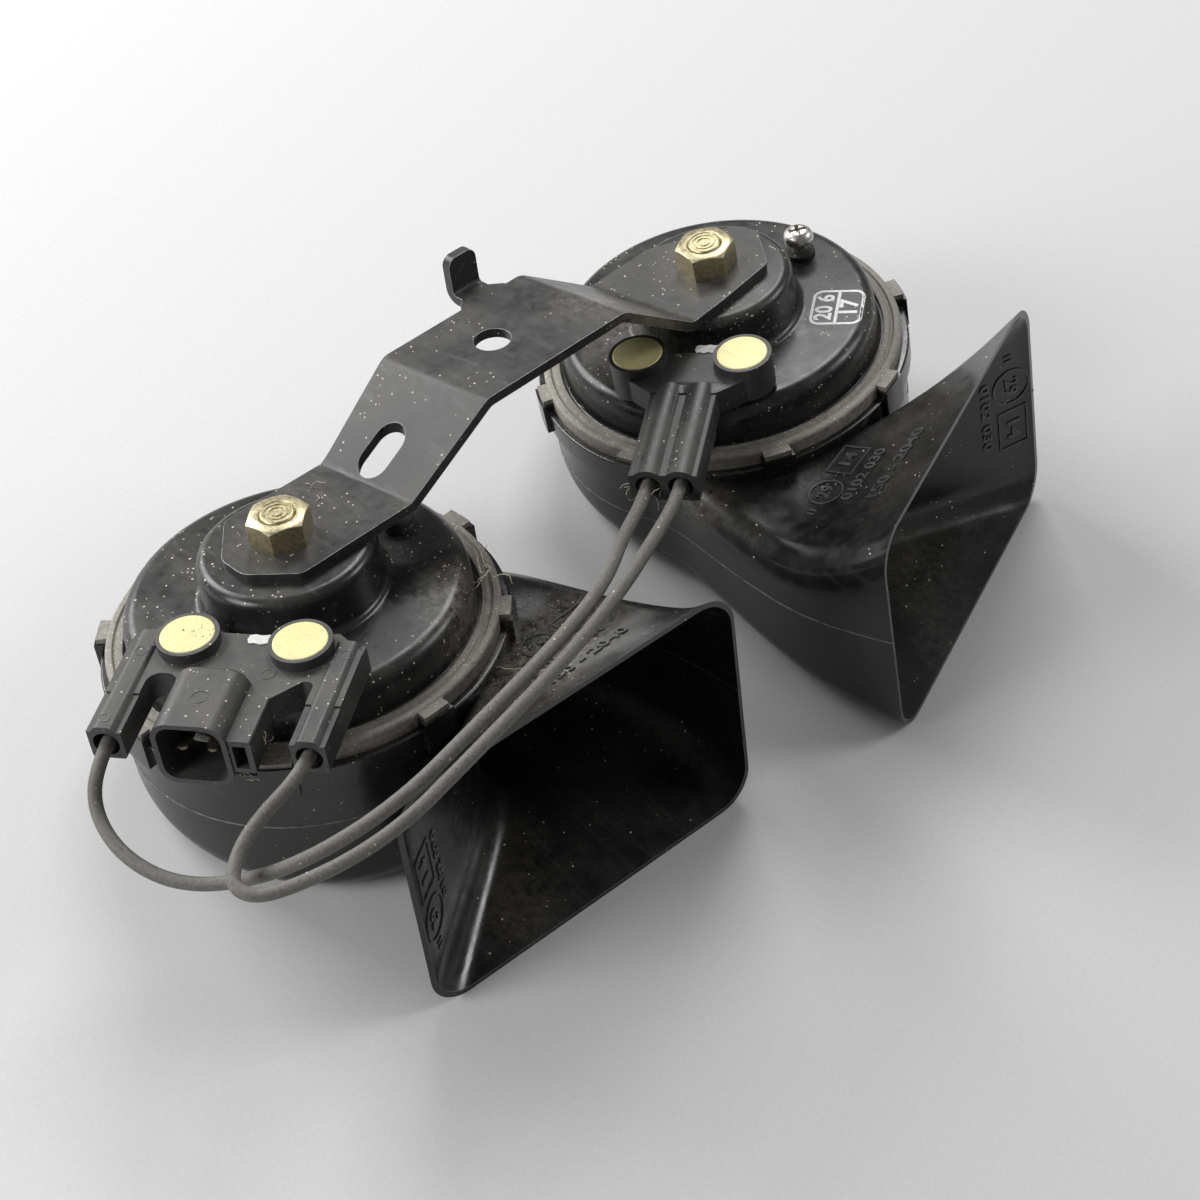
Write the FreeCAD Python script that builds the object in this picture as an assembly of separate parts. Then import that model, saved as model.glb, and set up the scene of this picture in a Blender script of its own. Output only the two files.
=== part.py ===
"""Pair of snail horns for a car, on one strip bracket, in the pose of the photo.

Every horn is built in its own frame: z along the disc axis with z = 0 on
the top of the clamp ring, x towards its mouth. The frames are then leaned
back and turned on to the floor, z up.
"""
import FreeCAD
import Part
import math
import os

os.makedirs("parts", exist_ok=True)

# Standing pose of the two horns
LEAN = 13.067          # disc axis leans away from the mouth, degrees
LEFT_YAW = -4.6
RIGHT_YAW = 18.2
RING_HEIGHT = 37.66    # centre of the ring plane above the floor
RIGHT_X = 3.2          # centre of the right horn, seen from the left one
RIGHT_Y = 137.2
LEFT_NUT = 4.0         # direction of one nut corner, from the connector
RIGHT_NUT = -14.0
LEFT_CONNECTOR = -52.0     # direction of the connector, degrees
RIGHT_CONNECTOR = -74.0
SCREW_TURN = 140.3     # adjusting screw, from the connector

# Steel housing
SHEET = 1.2
HOUSING_R = 40.5
DOME_Z = 9.5
BOSS_R = 20.5
BOSS_Z = 21.5
FLANGE_R = HOUSING_R + 4.1
FLANGE_Z = -1.0        # top of the flange
PAD_RAISE = 0.6        # flat raised for the connector
PAD_HALF = 31.0        # half angle of that flat

# Clamp ring, gaskets and diaphragm
RING_R = FLANGE_R + 1.4
RING_IN = HOUSING_R + 1.1
RING_WALL = 1.0
RING_BOTTOM = -5.2
GASKET = 0.8
GASKET_IN = HOUSING_R - 0.3
DIAPHRAGM = 0.4

# Magnet
STUD_R = 4.0
CORE_R = 7.0
AIR_GAP = 0.8
ARMATURE_R = 6.5
ARMATURE_PLATE_R = 10.0
BOBBIN_TUBE = 1.2
BOBBIN_FLANGE = 1.2
BOBBIN_R = 18.4
BOBBIN_Z = 6.0
COIL_R = 17.4

# Contact stack
RIVET_POLAR = HOUSING_R - 7.5
RIVET_HALF = 23.1
RIVET_HEAD_R = 6.18
RIVET_HEAD_TOP = 20.6
RIVET_HEAD = 1.2
RIVET_SHANK_R = 2.6
COLLAR = 0.95          # wall of the block round a rivet head
HOLE_GAP = 0.05
FIXED_ARM = 0.6
MOVING_ARM = 0.5
ARM_IN = RIVET_POLAR - 3.5
ARM_OUT = RIVET_POLAR + 3.4
TIP_TURN = 46.0
TIP_R = 2.0
SCREW_POLAR = 29.3
SCREW_R = 2.0
SCREW_HEAD_R = 3.9
SCREW_HEAD = 3.2

# Nut and bracket
NUT_FLATS = 13.0
NUT_HEIGHT = 6.45
STUD_OUT = 0.3
STRIP = 2.5
STRIP_HALF = 14.2
STRIP_FAR = 18.2
MIDDLE_Z = 38.4        # top of the middle flat, above the left ring plane
RAMP_START = 24.0
MIDDLE_START = 49.5
MIDDLE_END = 92.5
RAMP_END = 113.5
TIP_END = 14.3
HOLE_R = 4.5
HOLE_U = 68.2
HOLE_V = -2.8
SLOT_U = 31.5
SLOT_V = -2.0
SLOT_WIDE = 8.2
SLOT_LONG = 13.0
TAB_U = 79.0
TAB_WIDE = 8.4
TAB_OUT = 27.0
TAB_TOP = 48.0

# Trumpet shells
WALL = 2.0
DRUM_R = RING_R
SHELL_TOP = -7.0
SEAT_Z = RING_BOTTOM
RIM_R = RING_R + 1.8
RIM_TOP = -3.8
SEAM_Z = -22.0
THROAT_R = 5.5
SPIRAL_START = 5.0     # inner radius of the spiral wall
SPIRAL_GROWTH = 3.0    # growth of that radius in one turn
MOUTH_X = 73.2
LIP = 0.9
ROOF_X = 26.0          # where the roof over the mouth begins
TABS = 8               # crimp tabs of the ring, each on a post of the shell
TAB_FIRST = 3.0
TAB_HALF = 3.3
TAB_REACH = 2.4
TAB_DEEP = 1.3
TAB_DROP = 0.3
POST_HALF = 3.9
POST_OUT = 3.0

# Connector blocks
BLOCK_Z = DOME_Z + PAD_RAISE + 1.0
BLOCK_TOP = 17.8
ARM_V = 22.6
ARM_HALF = 3.9
ARM_END = 59.0
OUTLET_Z = 14.0
OUTLET_R = 3.0
ARM_TOP = 17.4
ARM_BACK = 1.3         # height of the round back above the shoulders
OUTLET_DEPTH = 7.0
SOCKET_END = 60.0
SOCKET_V = -3.2
SOCKET_HALF = 8.4
TWIN_END = 71.0
TWIN_V = 3.9
TWIN_HALF = 8.2
STRAP = 0.8

# Wires
WIRE_R = 1.55


def v(x, y, z=0.0):
    return FreeCAD.Vector(x, y, z)


def polar(r, angle, z=0.0):
    a = math.radians(angle)
    return v(r * math.cos(a), r * math.sin(a), z)


def rounded(points, place=None, closed=True):
    """Wire through (a, b, radius) corners, arcs of that radius at them."""
    place = place or (lambda a, b: v(a, b))
    flat = [v(p[0], p[1]) for p in points]
    radii = [p[2] if len(p) > 2 else 0.0 for p in points]
    count = len(flat)
    stops = []
    for i in range(count):
        here = flat[i]
        if radii[i] <= 0:
            stops.append((here, None, here))
            continue
        back = (flat[i - 1] - here).normalize()
        on = (flat[(i + 1) % count] - here).normalize()
        half = math.acos(max(-1, min(1, back.dot(on)))) / 2
        reach = radii[i] / math.tan(half)
        middle = (back + on).normalize()
        depth = radii[i] / math.sin(half) - radii[i]
        stops.append((here + back * reach, here + middle * depth, here + on * reach))
    edges = []
    for i in range(count):
        first, arc, last = stops[i]
        if arc is not None:
            ends = [place(p.x, p.y) for p in (first, arc, last)]
            edges.append(Part.Arc(*ends).toShape())
        following = stops[(i + 1) % count][0]
        if (following - last).Length > 1e-6:
            edges.append(Part.makeLine(place(last.x, last.y), place(following.x, following.y)))
    return Part.Wire(edges)


def turned(points):
    """Body of revolution from an (r, z, radius) outline."""
    wire = rounded(points, lambda r, z: v(r, 0, z))
    return Part.Face(wire).revolve(v(0, 0, 0), v(0, 0, 1), 360)


def tube(r_in, r_out, z0, z1):
    outer = Part.makeCylinder(r_out, z1 - z0, v(0, 0, z0))
    if r_in <= 0:
        return outer
    return outer.cut(Part.makeCylinder(r_in, z1 - z0 + 2, v(0, 0, z0 - 1)))


def sector(r_in, r_out, start, end, z0, z1):
    """Part of a ring between two directions, in degrees."""
    middle = (start + end) / 2
    outer = Part.Arc(polar(r_out, start, z0), polar(r_out, middle, z0), polar(r_out, end, z0)).toShape()
    inner = Part.Arc(polar(r_in, end, z0), polar(r_in, middle, z0), polar(r_in, start, z0)).toShape()
    side = Part.makeLine(polar(r_out, end, z0), polar(r_in, end, z0))
    close = Part.makeLine(polar(r_in, start, z0), polar(r_out, start, z0))
    return Part.Face(Part.Wire([outer, side, inner, close])).extrude(v(0, 0, z1 - z0))


def plate(points, z0, z1):
    return Part.Face(rounded(points, lambda a, b: v(a, b, z0))).extrude(v(0, 0, z1 - z0))


def bar(points, u0, u1):
    """Prism along u from an outline in (v, z)."""
    return Part.Face(rounded(points, lambda a, b: v(u0, a, b))).extrude(v(u1 - u0, 0, 0))


def drill(x, y, r, z0, z1):
    return Part.makeCylinder(r, z1 - z0, v(x, y, z0))


def rivet_spots():
    """Centres of the rivets, x axis through the middle of the connector."""
    spots = []
    for side in (-1, 1):
        p = polar(RIVET_POLAR, side * RIVET_HALF)
        spots.append((p.x, p.y))
    return spots


# Drawn housing with boss, flange and the flat for the connector
def housing():
    wall = SHEET
    body = turned([
        (STUD_R + HOLE_GAP, BOSS_Z),
        (BOSS_R, BOSS_Z, 2.6),
        (BOSS_R + 0.7, DOME_Z, 2.0),
        (HOUSING_R - 0.5, DOME_Z, 3.6),
        (HOUSING_R, FLANGE_Z, 0.8),
        (FLANGE_R, FLANGE_Z),
        (FLANGE_R, FLANGE_Z - wall),
        (HOUSING_R - wall, FLANGE_Z - wall, 1.6),
        (HOUSING_R - wall - 0.5, DOME_Z - wall, 2.4),
        (BOSS_R + 0.7 - wall, DOME_Z - wall, 2.6),
        (BOSS_R - wall, BOSS_Z - wall, 1.4),
        (STUD_R + HOLE_GAP, BOSS_Z - wall),
    ])
    body = body.fuse(sector(23.4, 36.0, -PAD_HALF, PAD_HALF, DOME_Z - 0.4, DOME_Z + PAD_RAISE))
    for x, y in rivet_spots():
        body = body.cut(drill(x, y, RIVET_SHANK_R + HOLE_GAP, 0, BOSS_Z))
    spot = polar(SCREW_POLAR, SCREW_TURN)
    return body.cut(drill(spot.x, spot.y, SCREW_R, 0, BOSS_Z))


# Rolled ring that clamps the flange, the gaskets and the diaphragm
def clamp_ring():
    low = RING_BOTTOM + RING_WALL
    body = turned([
        (RING_IN, 0.0, 0.3),
        (RING_R - 3.0, 0.0),
        (RING_R - 2.6, -0.5),
        (RING_R - 2.1, -0.5),
        (RING_R - 1.7, 0.0),
        (RING_R, 0.0, 0.9),
        (RING_R, RING_BOTTOM, 0.9),
        (RING_R - 3.6, RING_BOTTOM),
        (RING_R - 3.6, low),
        (RING_R - RING_WALL, low),
        (RING_R - RING_WALL, FLANGE_Z),
        (RING_IN, FLANGE_Z),
    ])
    tabs = []
    for k in range(TABS):
        middle = TAB_FIRST + 360.0 * k / TABS
        half = math.degrees(TAB_HALF / RING_R)
        tabs.append(sector(RING_R - 0.8, RING_R + TAB_REACH, middle - half, middle + half,
                           -TAB_DROP - TAB_DEEP, -TAB_DROP))
    return body.fuse(tabs).removeSplitter()


def gasket_levels():
    top = FLANGE_Z - SHEET
    upper = (top - GASKET, top)
    plate_z = (top - GASKET - DIAPHRAGM, top - GASKET)
    lower = (plate_z[0] - GASKET, plate_z[0])
    return upper, plate_z, lower


def gaskets():
    upper, _, lower = gasket_levels()
    return [tube(GASKET_IN, FLANGE_R, *upper), tube(GASKET_IN, FLANGE_R, *lower)]


# Diaphragm with one pressed ring wave, riveted to the armature
def diaphragm():
    z0, z1 = gasket_levels()[1]
    wave = 0.5
    return turned([
        (3.0, z1), (28.0, z1, 2.0), (31.0, z1 + wave, 2.0), (34.0, z1, 2.0), (FLANGE_R, z1),
        (FLANGE_R, z0), (34.0, z0, 2.0), (31.0, z0 + wave, 2.0), (28.0, z0, 2.0), (3.0, z0)])


def armature():
    z0, z1 = gasket_levels()[1]
    tip = core_bottom() - AIR_GAP
    body = turned([(0, tip), (ARMATURE_R, tip, 0.4), (ARMATURE_R, z1 + 2.0), (ARMATURE_PLATE_R, z1 + 2.0, 0.4),
                   (ARMATURE_PLATE_R, z1), (3.0, z1), (3.0, z0), (5.0, z0), (4.6, z0 - 1.1, 0.4), (0, z0 - 1.1)])
    return body


def core_bottom():
    return 4.4


# Pole core, its stud passes the boss, the bracket and the nut
def pole_core():
    top = BOSS_Z - SHEET
    end = BOSS_Z + STRIP + NUT_HEIGHT + STUD_OUT
    body = turned([
        (0, core_bottom()), (CORE_R, core_bottom(), 0.5), (CORE_R, top),
        (STUD_R, top), (STUD_R, end, 0.5), (0, end)])
    for k in range(2):
        r = 1.3 + 1.2 * k
        body = body.cut(tube(r, r + 0.45, end - 0.25, end + 1))
    return body


def bobbin():
    top = BOSS_Z - SHEET
    tube_r = CORE_R + BOBBIN_TUBE
    return turned([
        (CORE_R, BOBBIN_Z), (BOBBIN_R, BOBBIN_Z, 0.3), (BOBBIN_R, BOBBIN_Z + BOBBIN_FLANGE),
        (tube_r, BOBBIN_Z + BOBBIN_FLANGE), (tube_r, top - BOBBIN_FLANGE),
        (BOBBIN_R - 0.9, top - BOBBIN_FLANGE), (BOBBIN_R - 0.9, top, 0.3), (CORE_R, top)])


def winding():
    return tube(CORE_R + BOBBIN_TUBE, COIL_R, BOBBIN_Z + BOBBIN_FLANGE, BOSS_Z - SHEET - BOBBIN_FLANGE)


def stack_levels():
    top = DOME_Z - SHEET
    upper = (top - 1.0, top)
    fixed = (upper[0] - FIXED_ARM, upper[0])
    lower = (fixed[0] - 1.2, fixed[0])
    moving = (lower[0] - MOVING_ARM, lower[0])
    return upper, fixed, lower, moving


def pierced(body):
    for x, y in rivet_spots():
        body = body.cut(drill(x, y, RIVET_SHANK_R + HOLE_GAP, 0, BOSS_Z))
    return body


def insulators():
    upper, _, lower, _ = stack_levels()
    return [pierced(sector(ARM_IN - 1.9, ARM_OUT, -PAD_HALF, PAD_HALF, *upper)),
            pierced(sector(ARM_IN - 1.9, ARM_OUT, -PAD_HALF, PAD_HALF, *lower))]


# Fixed contact arm, a leaf that runs round to the adjusting screw
def fixed_contact():
    _, fixed, _, moving = stack_levels()
    half = (fixed[0] + moving[1]) / 2
    leaf = sector(ARM_IN, ARM_OUT, -PAD_HALF, TIP_TURN + 8, *fixed)
    leaf = leaf.fuse(sector(27.2, 31.4, TIP_TURN + 8, SCREW_TURN + 6, *fixed))
    tip = polar(RIVET_POLAR, TIP_TURN)
    leaf = leaf.fuse(drill(tip.x, tip.y, TIP_R, half, fixed[0]))
    return pierced(leaf).removeSplitter()


def moving_contact():
    _, fixed, _, moving = stack_levels()
    half = (fixed[0] + moving[1]) / 2
    leaf = sector(ARM_IN, ARM_OUT, -PAD_HALF, TIP_TURN + 6, *moving)
    finger = plate([(9.0, -3.0, 2.9), (ARM_IN + 2, -3.0), (ARM_IN + 2, 3.0), (9.0, 3.0, 2.9)], *moving)
    tip = polar(RIVET_POLAR, TIP_TURN)
    leaf = leaf.fuse([finger, drill(tip.x, tip.y, TIP_R, moving[1], half)])
    return pierced(leaf).removeSplitter()


def rivets():
    low = stack_levels()[3][0]
    out = []
    for x, y in rivet_spots():
        head = Part.makeCylinder(RIVET_HEAD_R, RIVET_HEAD, v(x, y, RIVET_HEAD_TOP - RIVET_HEAD))
        edges = [e for e in head.Edges if abs(e.BoundBox.ZMin - RIVET_HEAD_TOP) < 1e-4 and e.BoundBox.ZLength < 1e-4]
        head = head.makeFillet(0.35, edges)
        shank = drill(x, y, RIVET_SHANK_R, low, RIVET_HEAD_TOP - RIVET_HEAD)
        foot = Part.makeCone(RIVET_SHANK_R + 0.9, RIVET_SHANK_R + 1.6, 1.0, v(x, y, low - 1.0))
        out.append(head.fuse([shank, foot]).removeSplitter())
    return out


# Adjusting screw, cross recess in its head, the tip bears on the fixed arm
def adjusting_screw(head_z):
    tip = stack_levels()[1][1]
    spot = polar(SCREW_POLAR, SCREW_TURN)
    body = turned([
        (0, tip), (SCREW_R - 0.5, tip), (SCREW_R, tip + 0.6), (SCREW_R, head_z),
        (SCREW_HEAD_R, head_z, 0.4), (SCREW_HEAD_R, head_z + SCREW_HEAD, 2.4), (0, head_z + SCREW_HEAD)])
    for turn in (0, 90):
        slot = Part.makeBox(4.4, 1.0, 1.6, v(-2.2, -0.5, head_z + SCREW_HEAD - 1.4))
        slot.rotate(v(0, 0, 0), v(0, 0, 1), turn + 20)
        body = body.cut(slot)
    return body.translated(spot)


def screw_washer():
    spot = polar(SCREW_POLAR, SCREW_TURN)
    wide = SCREW_HEAD_R - 0.1
    ring = turned([(SCREW_R, DOME_Z), (wide, DOME_Z), (wide, DOME_Z + 1.6, 0.5), (SCREW_R, DOME_Z + 1.6)])
    return ring.translated(spot)


def hex_nut(turn):
    z0 = BOSS_Z + STRIP
    round_r = NUT_FLATS / 2 / math.cos(math.radians(30))
    corners = [polar(round_r, 60 * k + turn, z0) for k in range(6)]
    body = Part.Face(Part.makePolygon(corners + [corners[0]])).extrude(v(0, 0, NUT_HEIGHT))
    top = z0 + NUT_HEIGHT
    cone = turned([
        (STUD_R, z0), (round_r + 0.4, z0), (round_r + 0.4, top - 0.9), (NUT_FLATS / 2 - 0.3, top),
        (STUD_R + 0.5, top), (STUD_R, top - 0.5)])
    return body.common(cone)


def insulating_pad():
    z0 = DOME_Z + PAD_RAISE
    return pierced(sector(23.6, 36.0, -26.5, 26.5, z0, z0 + 1.0))


def lane_bar(a, b, half, z0, z1):
    """Flat bar between two points of the plane, with round ends."""
    run = v(b[0] - a[0], b[1] - a[1])
    bar_ = Part.makeBox(run.Length, 2 * half, z1 - z0, v(0, -half, z0))
    bar_.rotate(v(0, 0, 0), v(0, 0, 1), math.degrees(math.atan2(run.y, run.x)))
    bar_.translate(v(a[0], a[1]))
    return bar_.fuse([drill(a[0], a[1], half, z0, z1), drill(b[0], b[1], half, z0, z1)])


# Metal straps inside a connector block, from the rivets to the wires and pins
def straps(outlet_v, outlet_end, elbow, pins):
    z0 = 12.2
    z1 = z0 + STRAP
    out = []
    for side, (x, y) in zip((-1, 1), rivet_spots()):
        end_v = side * outlet_v
        seat = outlet_end - OUTLET_DEPTH
        strap = Part.makeCylinder(4.2, STRAP, v(x, y, z0))
        runs = [lane_bar((x, y), (elbow, end_v), 1.4, z0, z1),
                lane_bar((elbow, end_v), (seat - 1.4, end_v), 1.4, z0, z1),
                Part.makeCylinder(1.7, 4.0, v(seat - 4.0, end_v, OUTLET_Z), v(1, 0, 0)),
                Part.makeBox(4.0, 2.0, OUTLET_Z - z0, v(seat - 4.0, end_v - 1.0, z0))]
        if pins:
            pin_v = SOCKET_V + side * 3.4
            runs.append(lane_bar((x, y), (38.0, pin_v), 1.4, z0, z1))
            runs.append(lane_bar((38.0, pin_v), (56.0, pin_v), 1.4, z0, z1))
        strap = strap.fuse(runs).cut(drill(x, y, RIVET_SHANK_R, 0, BOSS_Z))
        out.append(strap.removeSplitter())
    return out


def rivet_pads():
    """Round pads of a block, each with a shallow cup that the rivet head fills."""
    out = []
    for x, y in rivet_spots():
        top = RIVET_HEAD_TOP - 0.2
        out.append(Part.makeCylinder(RIVET_HEAD_R + COLLAR, top - BLOCK_Z, v(x, y, BLOCK_Z)))
    return out


def rivet_cups():
    out = []
    for x, y in rivet_spots():
        out.append(drill(x, y, RIVET_HEAD_R + HOLE_GAP, RIVET_HEAD_TOP - RIVET_HEAD, RIVET_HEAD_TOP + 1))
    return out


def outlet_hole(end_v, end):
    return Part.makeCylinder(OUTLET_R, OUTLET_DEPTH + 1, v(end - OUTLET_DEPTH, end_v, OUTLET_Z), v(1, 0, 0))


def wire_arm(end_v, start, end, low):
    """Arm round one wire: two flat shoulders with a low round back between."""
    h = ARM_HALF
    return bar([(end_v - h, low, 0.8), (end_v + h, low, 0.8), (end_v + h, ARM_TOP), (end_v + h - 1.1, ARM_TOP),
                (end_v + h - 2.0, ARM_TOP + ARM_BACK, 1.6), (end_v - h + 2.0, ARM_TOP + ARM_BACK, 1.6),
                (end_v - h + 1.1, ARM_TOP), (end_v - h, ARM_TOP)], start, end)


# Block of the left horn: open socket between two wire outlets
def socket_block():
    s0, s1 = SOCKET_V - SOCKET_HALF, SOCKET_V + SOCKET_HALF
    a0, a1 = ARM_V - ARM_HALF, ARM_V + ARM_HALF
    edge = 40.2
    base = plate([(24.6, -19.8, 1.0), (30.0, -a1, 1.0), (47.0, -a1), (47.0, -a0), (edge, -a0, 3.2), (edge, s0, 3.2),
                  (47.0, s0), (47.0, s1 + 4.4), (edge, a0 - 2.6, 1.5), (edge, a0, 1.5), (47.0, a0), (47.0, a1),
                  (30.0, a1, 1.0), (24.6, 19.8, 1.0), (26.4, 9.0, 1.0), (26.4, -9.0, 1.0)], BLOCK_Z, BLOCK_TOP)
    parts = rivet_pads()
    for side in (-1, 1):
        end_v = side * ARM_V
        arm = wire_arm(end_v, 27.6, ARM_END, 10.0)
        nose = plate([(27.6, end_v - 9), (70, end_v - 9), (70, end_v + 9), (27.6, end_v + 9)], 9.0, 30.0)
        parts.append(arm.common(nose))
    shell = bar([(s0, 5.0, 4.0), (s1, 5.0, 4.0), (s1, 21.8, 4.6), (s0, 21.8, 4.6)], 41.0, SOCKET_END)
    back = [e for e in shell.Edges if abs(e.BoundBox.XMin - 41.0) < 1e-4 and e.BoundBox.XLength < 1e-4
            and e.BoundBox.ZMin > 16.0]
    shell = shell.makeFillet(1.6, back)
    rail = bar([(s1 - 4.4, 9.0), (s1 + 5.2, 9.0, 0.8), (s1 + 5.2, 17.9, 0.6), (s1 - 4.4, 17.9)], 45.4, SOCKET_END - 0.4)
    clear = tube(0, RIM_R + 1.2, -1, BLOCK_Z)
    parts += [shell.cut(clear), rail.cut(clear)]
    block = base.fuse(parts)
    opening = bar([(s0 + 1.2, 6.2, 3.2), (s1 - 1.2, 6.2, 3.2), (s1 - 1.2, 20.6, 3.6), (s0 + 1.2, 20.6, 3.6)],
                  SOCKET_END - 15.0, SOCKET_END + 1)
    slot = bar([(s1 + 0.9, 10.2), (s1 + 3.9, 10.2), (s1 + 3.9, 16.4), (s1 + 0.9, 16.4)], SOCKET_END - 9.0, SOCKET_END + 1)
    block = block.cut([opening, slot] + rivet_cups())
    for side in (-1, 1):
        block = block.cut(outlet_hole(side * ARM_V, ARM_END))
    return block


# Block of the right horn: both wires leave side by side
def twin_block():
    w = TWIN_HALF
    base = plate([(25.6, -13.0, 2.0), (36.4, -15.6, 4.0), (42.0, -w, 1.0), (42.0, w, 1.0), (36.4, 15.6, 4.0),
                  (25.6, 13.0, 2.0), (27.0, 5.0, 1.0), (27.0, -5.0, 1.0)], BLOCK_Z, BLOCK_TOP)
    body = bar([(-w, 9.8, 0.6), (w, 9.8, 0.6), (w, ARM_TOP, 0.4), (-w, ARM_TOP, 0.4)], 38.5, TWIN_END)
    parts = rivet_pads() + [body]
    for side in (-1, 1):
        back = Part.makeCylinder(4.4, TWIN_END - 39.0, v(39.0, side * TWIN_V, 14.3), v(1, 0, 0))
        parts.append(back.common(plate([(38, -20), (80, -20), (80, 20), (38, 20)], 12.0, 30.0)))
    clear = tube(0, RIM_R + 1.2, -1, BLOCK_Z)
    block = base.fuse([p.cut(clear) for p in parts]).cut(rivet_cups())
    for side in (-1, 1):
        block = block.cut(outlet_hole(side * TWIN_V, TWIN_END))
    return block


def spiral(first, last, offset):
    """Points of the spiral wall, angles in turns, moving clockwise from +y."""
    points = []
    steps = 36
    for i in range(steps + 1):
        t = first + (last - first) * i / steps
        r = SPIRAL_START * SPIRAL_GROWTH ** t + offset
        points.append(polar(r, 90.0 - 360.0 * t))
    return points


def curve(points):
    line = Part.BSplineCurve()
    line.interpolate(points)
    return line.toShape()


def spiral_face(inner, outer, z):
    """Face between two spiral runs that share their end directions."""
    edges = [curve(inner), Part.makeLine(inner[-1], outer[-1]), curve(outer), Part.makeLine(outer[0], inner[0])]
    return Part.Face(Part.Wire(Part.__sortEdges__(edges))).translated(v(0, 0, z))


def spiral_disc(run, z):
    """Face inside one full spiral run, closed by a straight line."""
    return Part.Face(Part.Wire([curve(run), Part.makeLine(run[-1], run[0])])).translated(v(0, 0, z))


def floor_z(x):
    """Table height below a point of the horn frame."""
    a = math.radians(LEAN)
    return -(RING_HEIGHT + x * math.sin(a)) / math.cos(a)


def above_table(gap):
    """Half space above the table plane, raised by a gap, as a large block."""
    block = Part.makeBox(400, 400, 200, v(-200, -200, -RING_HEIGHT + gap))
    block.rotate(v(0, 0, 0), v(0, 1, 0), LEAN)
    return block


def trunk_rows():
    """Outline of the flare: x, flare side, straight side, bottom, top, corner."""
    rows = []
    rows.append((2.0, 14.0, 46.4, floor_z(2.0) + 1.6, SHELL_TOP, 7.0))
    rows.append((14.0, 15.6, 51.0, floor_z(14.0) + 1.6, SHELL_TOP, 7.5))
    rows.append((27.0, 17.0, 57.2, floor_z(27.0) + 1.6, SHELL_TOP, 8.0))
    rows.append((40.0, 14.0, 62.6, floor_z(40.0) + 1.6, SHELL_TOP, 8.0))
    rows.append((52.0, 1.5, 66.0, floor_z(52.0) + 1.4, SHELL_TOP + 2.4, 8.0))
    rows.append((62.0, -11.8, 67.2, floor_z(62.0) + 1.0, SHELL_TOP + 7.0, 8.5))
    rows.append((68.5, -20.6, 67.5, floor_z(68.5) + 0.5, SHELL_TOP + 11.6, 9.0))
    rows.append((MOUTH_X, -26.8, 67.6, floor_z(MOUTH_X), 8.7, 9.5))
    return rows


def trunk(inset_start, inset_end, first_x, last_x):
    """Loft through the rows, each inset by a wall that thins to the lip."""
    wires = []
    rows = trunk_rows()
    for i, (x, y0, y1, z0, z1, r) in enumerate(rows):
        inset = inset_start + (inset_end - inset_start) * i / (len(rows) - 1)
        if i == 0:
            x = first_x
        if i == len(rows) - 1:
            x = last_x
        wires.append(rounded(
            [(y0 + inset, z0 + inset, r - inset / 2), (y1 - inset, z0 + inset, r - inset / 2),
             (y1 - inset, z1 - inset, r - inset / 2), (y0 + inset, z1 - inset, r - inset / 2)],
            lambda a, b, x=x: v(x, a, b)))
    return Part.makeLoft(wires, True, False)


# Snail body, channel and flared mouth, straight side towards +y
def trumpet():
    drum = Part.makeCylinder(DRUM_R, 60, v(0, 0, SHELL_TOP - 60))
    drum = drum.common(above_table(0.0))
    low = [e for e in drum.Edges if e.BoundBox.ZLength > 5 and e.BoundBox.XLength > 60]
    drum = drum.makeFillet(8.0, low)
    body = drum.fuse(trunk(0.0, 0.0, 0.0, MOUTH_X))
    body = body.fuse(tube(0, RING_R, SHELL_TOP - 0.5, SEAT_Z))
    rim = turned([(RING_R, SHELL_TOP - 1), (RING_R, RIM_TOP), (RIM_R, RIM_TOP, 0.5), (RIM_R, SHELL_TOP - 2.5),
                  (RING_R - 1, SHELL_TOP - 3.5), (RING_R - 1, SHELL_TOP - 1)])
    body = body.fuse(rim)
    ceiling = SHELL_TOP - WALL
    depth = 60.0
    half = WALL / 2
    bottom = ceiling - depth
    lane = spiral_face(spiral(0, 1, half), spiral(1, 2, -half), bottom).extrude(v(0, 0, depth))
    lane = lane.cut(tube(0, 13.0, -80, -18.0)).common(above_table(WALL + 0.2))
    lane = lane.common(tube(0, DRUM_R - WALL, -80, 0))
    throat = Part.makeCylinder(THROAT_R, 30, v(0, 0, -18.0))
    bell = Part.makeCone(THROAT_R, 11.0, 1.2, v(0, 0, SEAT_Z - 1.2))
    flare = trunk(WALL, LIP, -0.2, MOUTH_X + 0.6)
    inside = spiral_disc(spiral(1, 2, half), bottom - 1).extrude(v(0, 0, depth + 2))
    spare = tube(0, DRUM_R - WALL, -80, ceiling).cut([inside, trunk(0.0, 0.0, 0.0, MOUTH_X)])
    spare = spare.common(above_table(WALL + 0.2))
    spare = max(spare.Solids, key=lambda s: s.Volume)
    for hollow in (lane, throat, bell, flare, spare):
        body = body.cut(hollow)
    return body


def posts():
    """Posts on the shell's rim, right under the tabs of the ring."""
    out = []
    for k in range(TABS):
        middle = TAB_FIRST + 360.0 * k / TABS
        half = math.degrees(POST_HALF / RING_R)
        out.append(sector(RING_R, RING_R + POST_OUT, middle - half, middle + half,
                          SHELL_TOP - 3.0, -TAB_DROP - TAB_DEEP))
    return out


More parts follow.
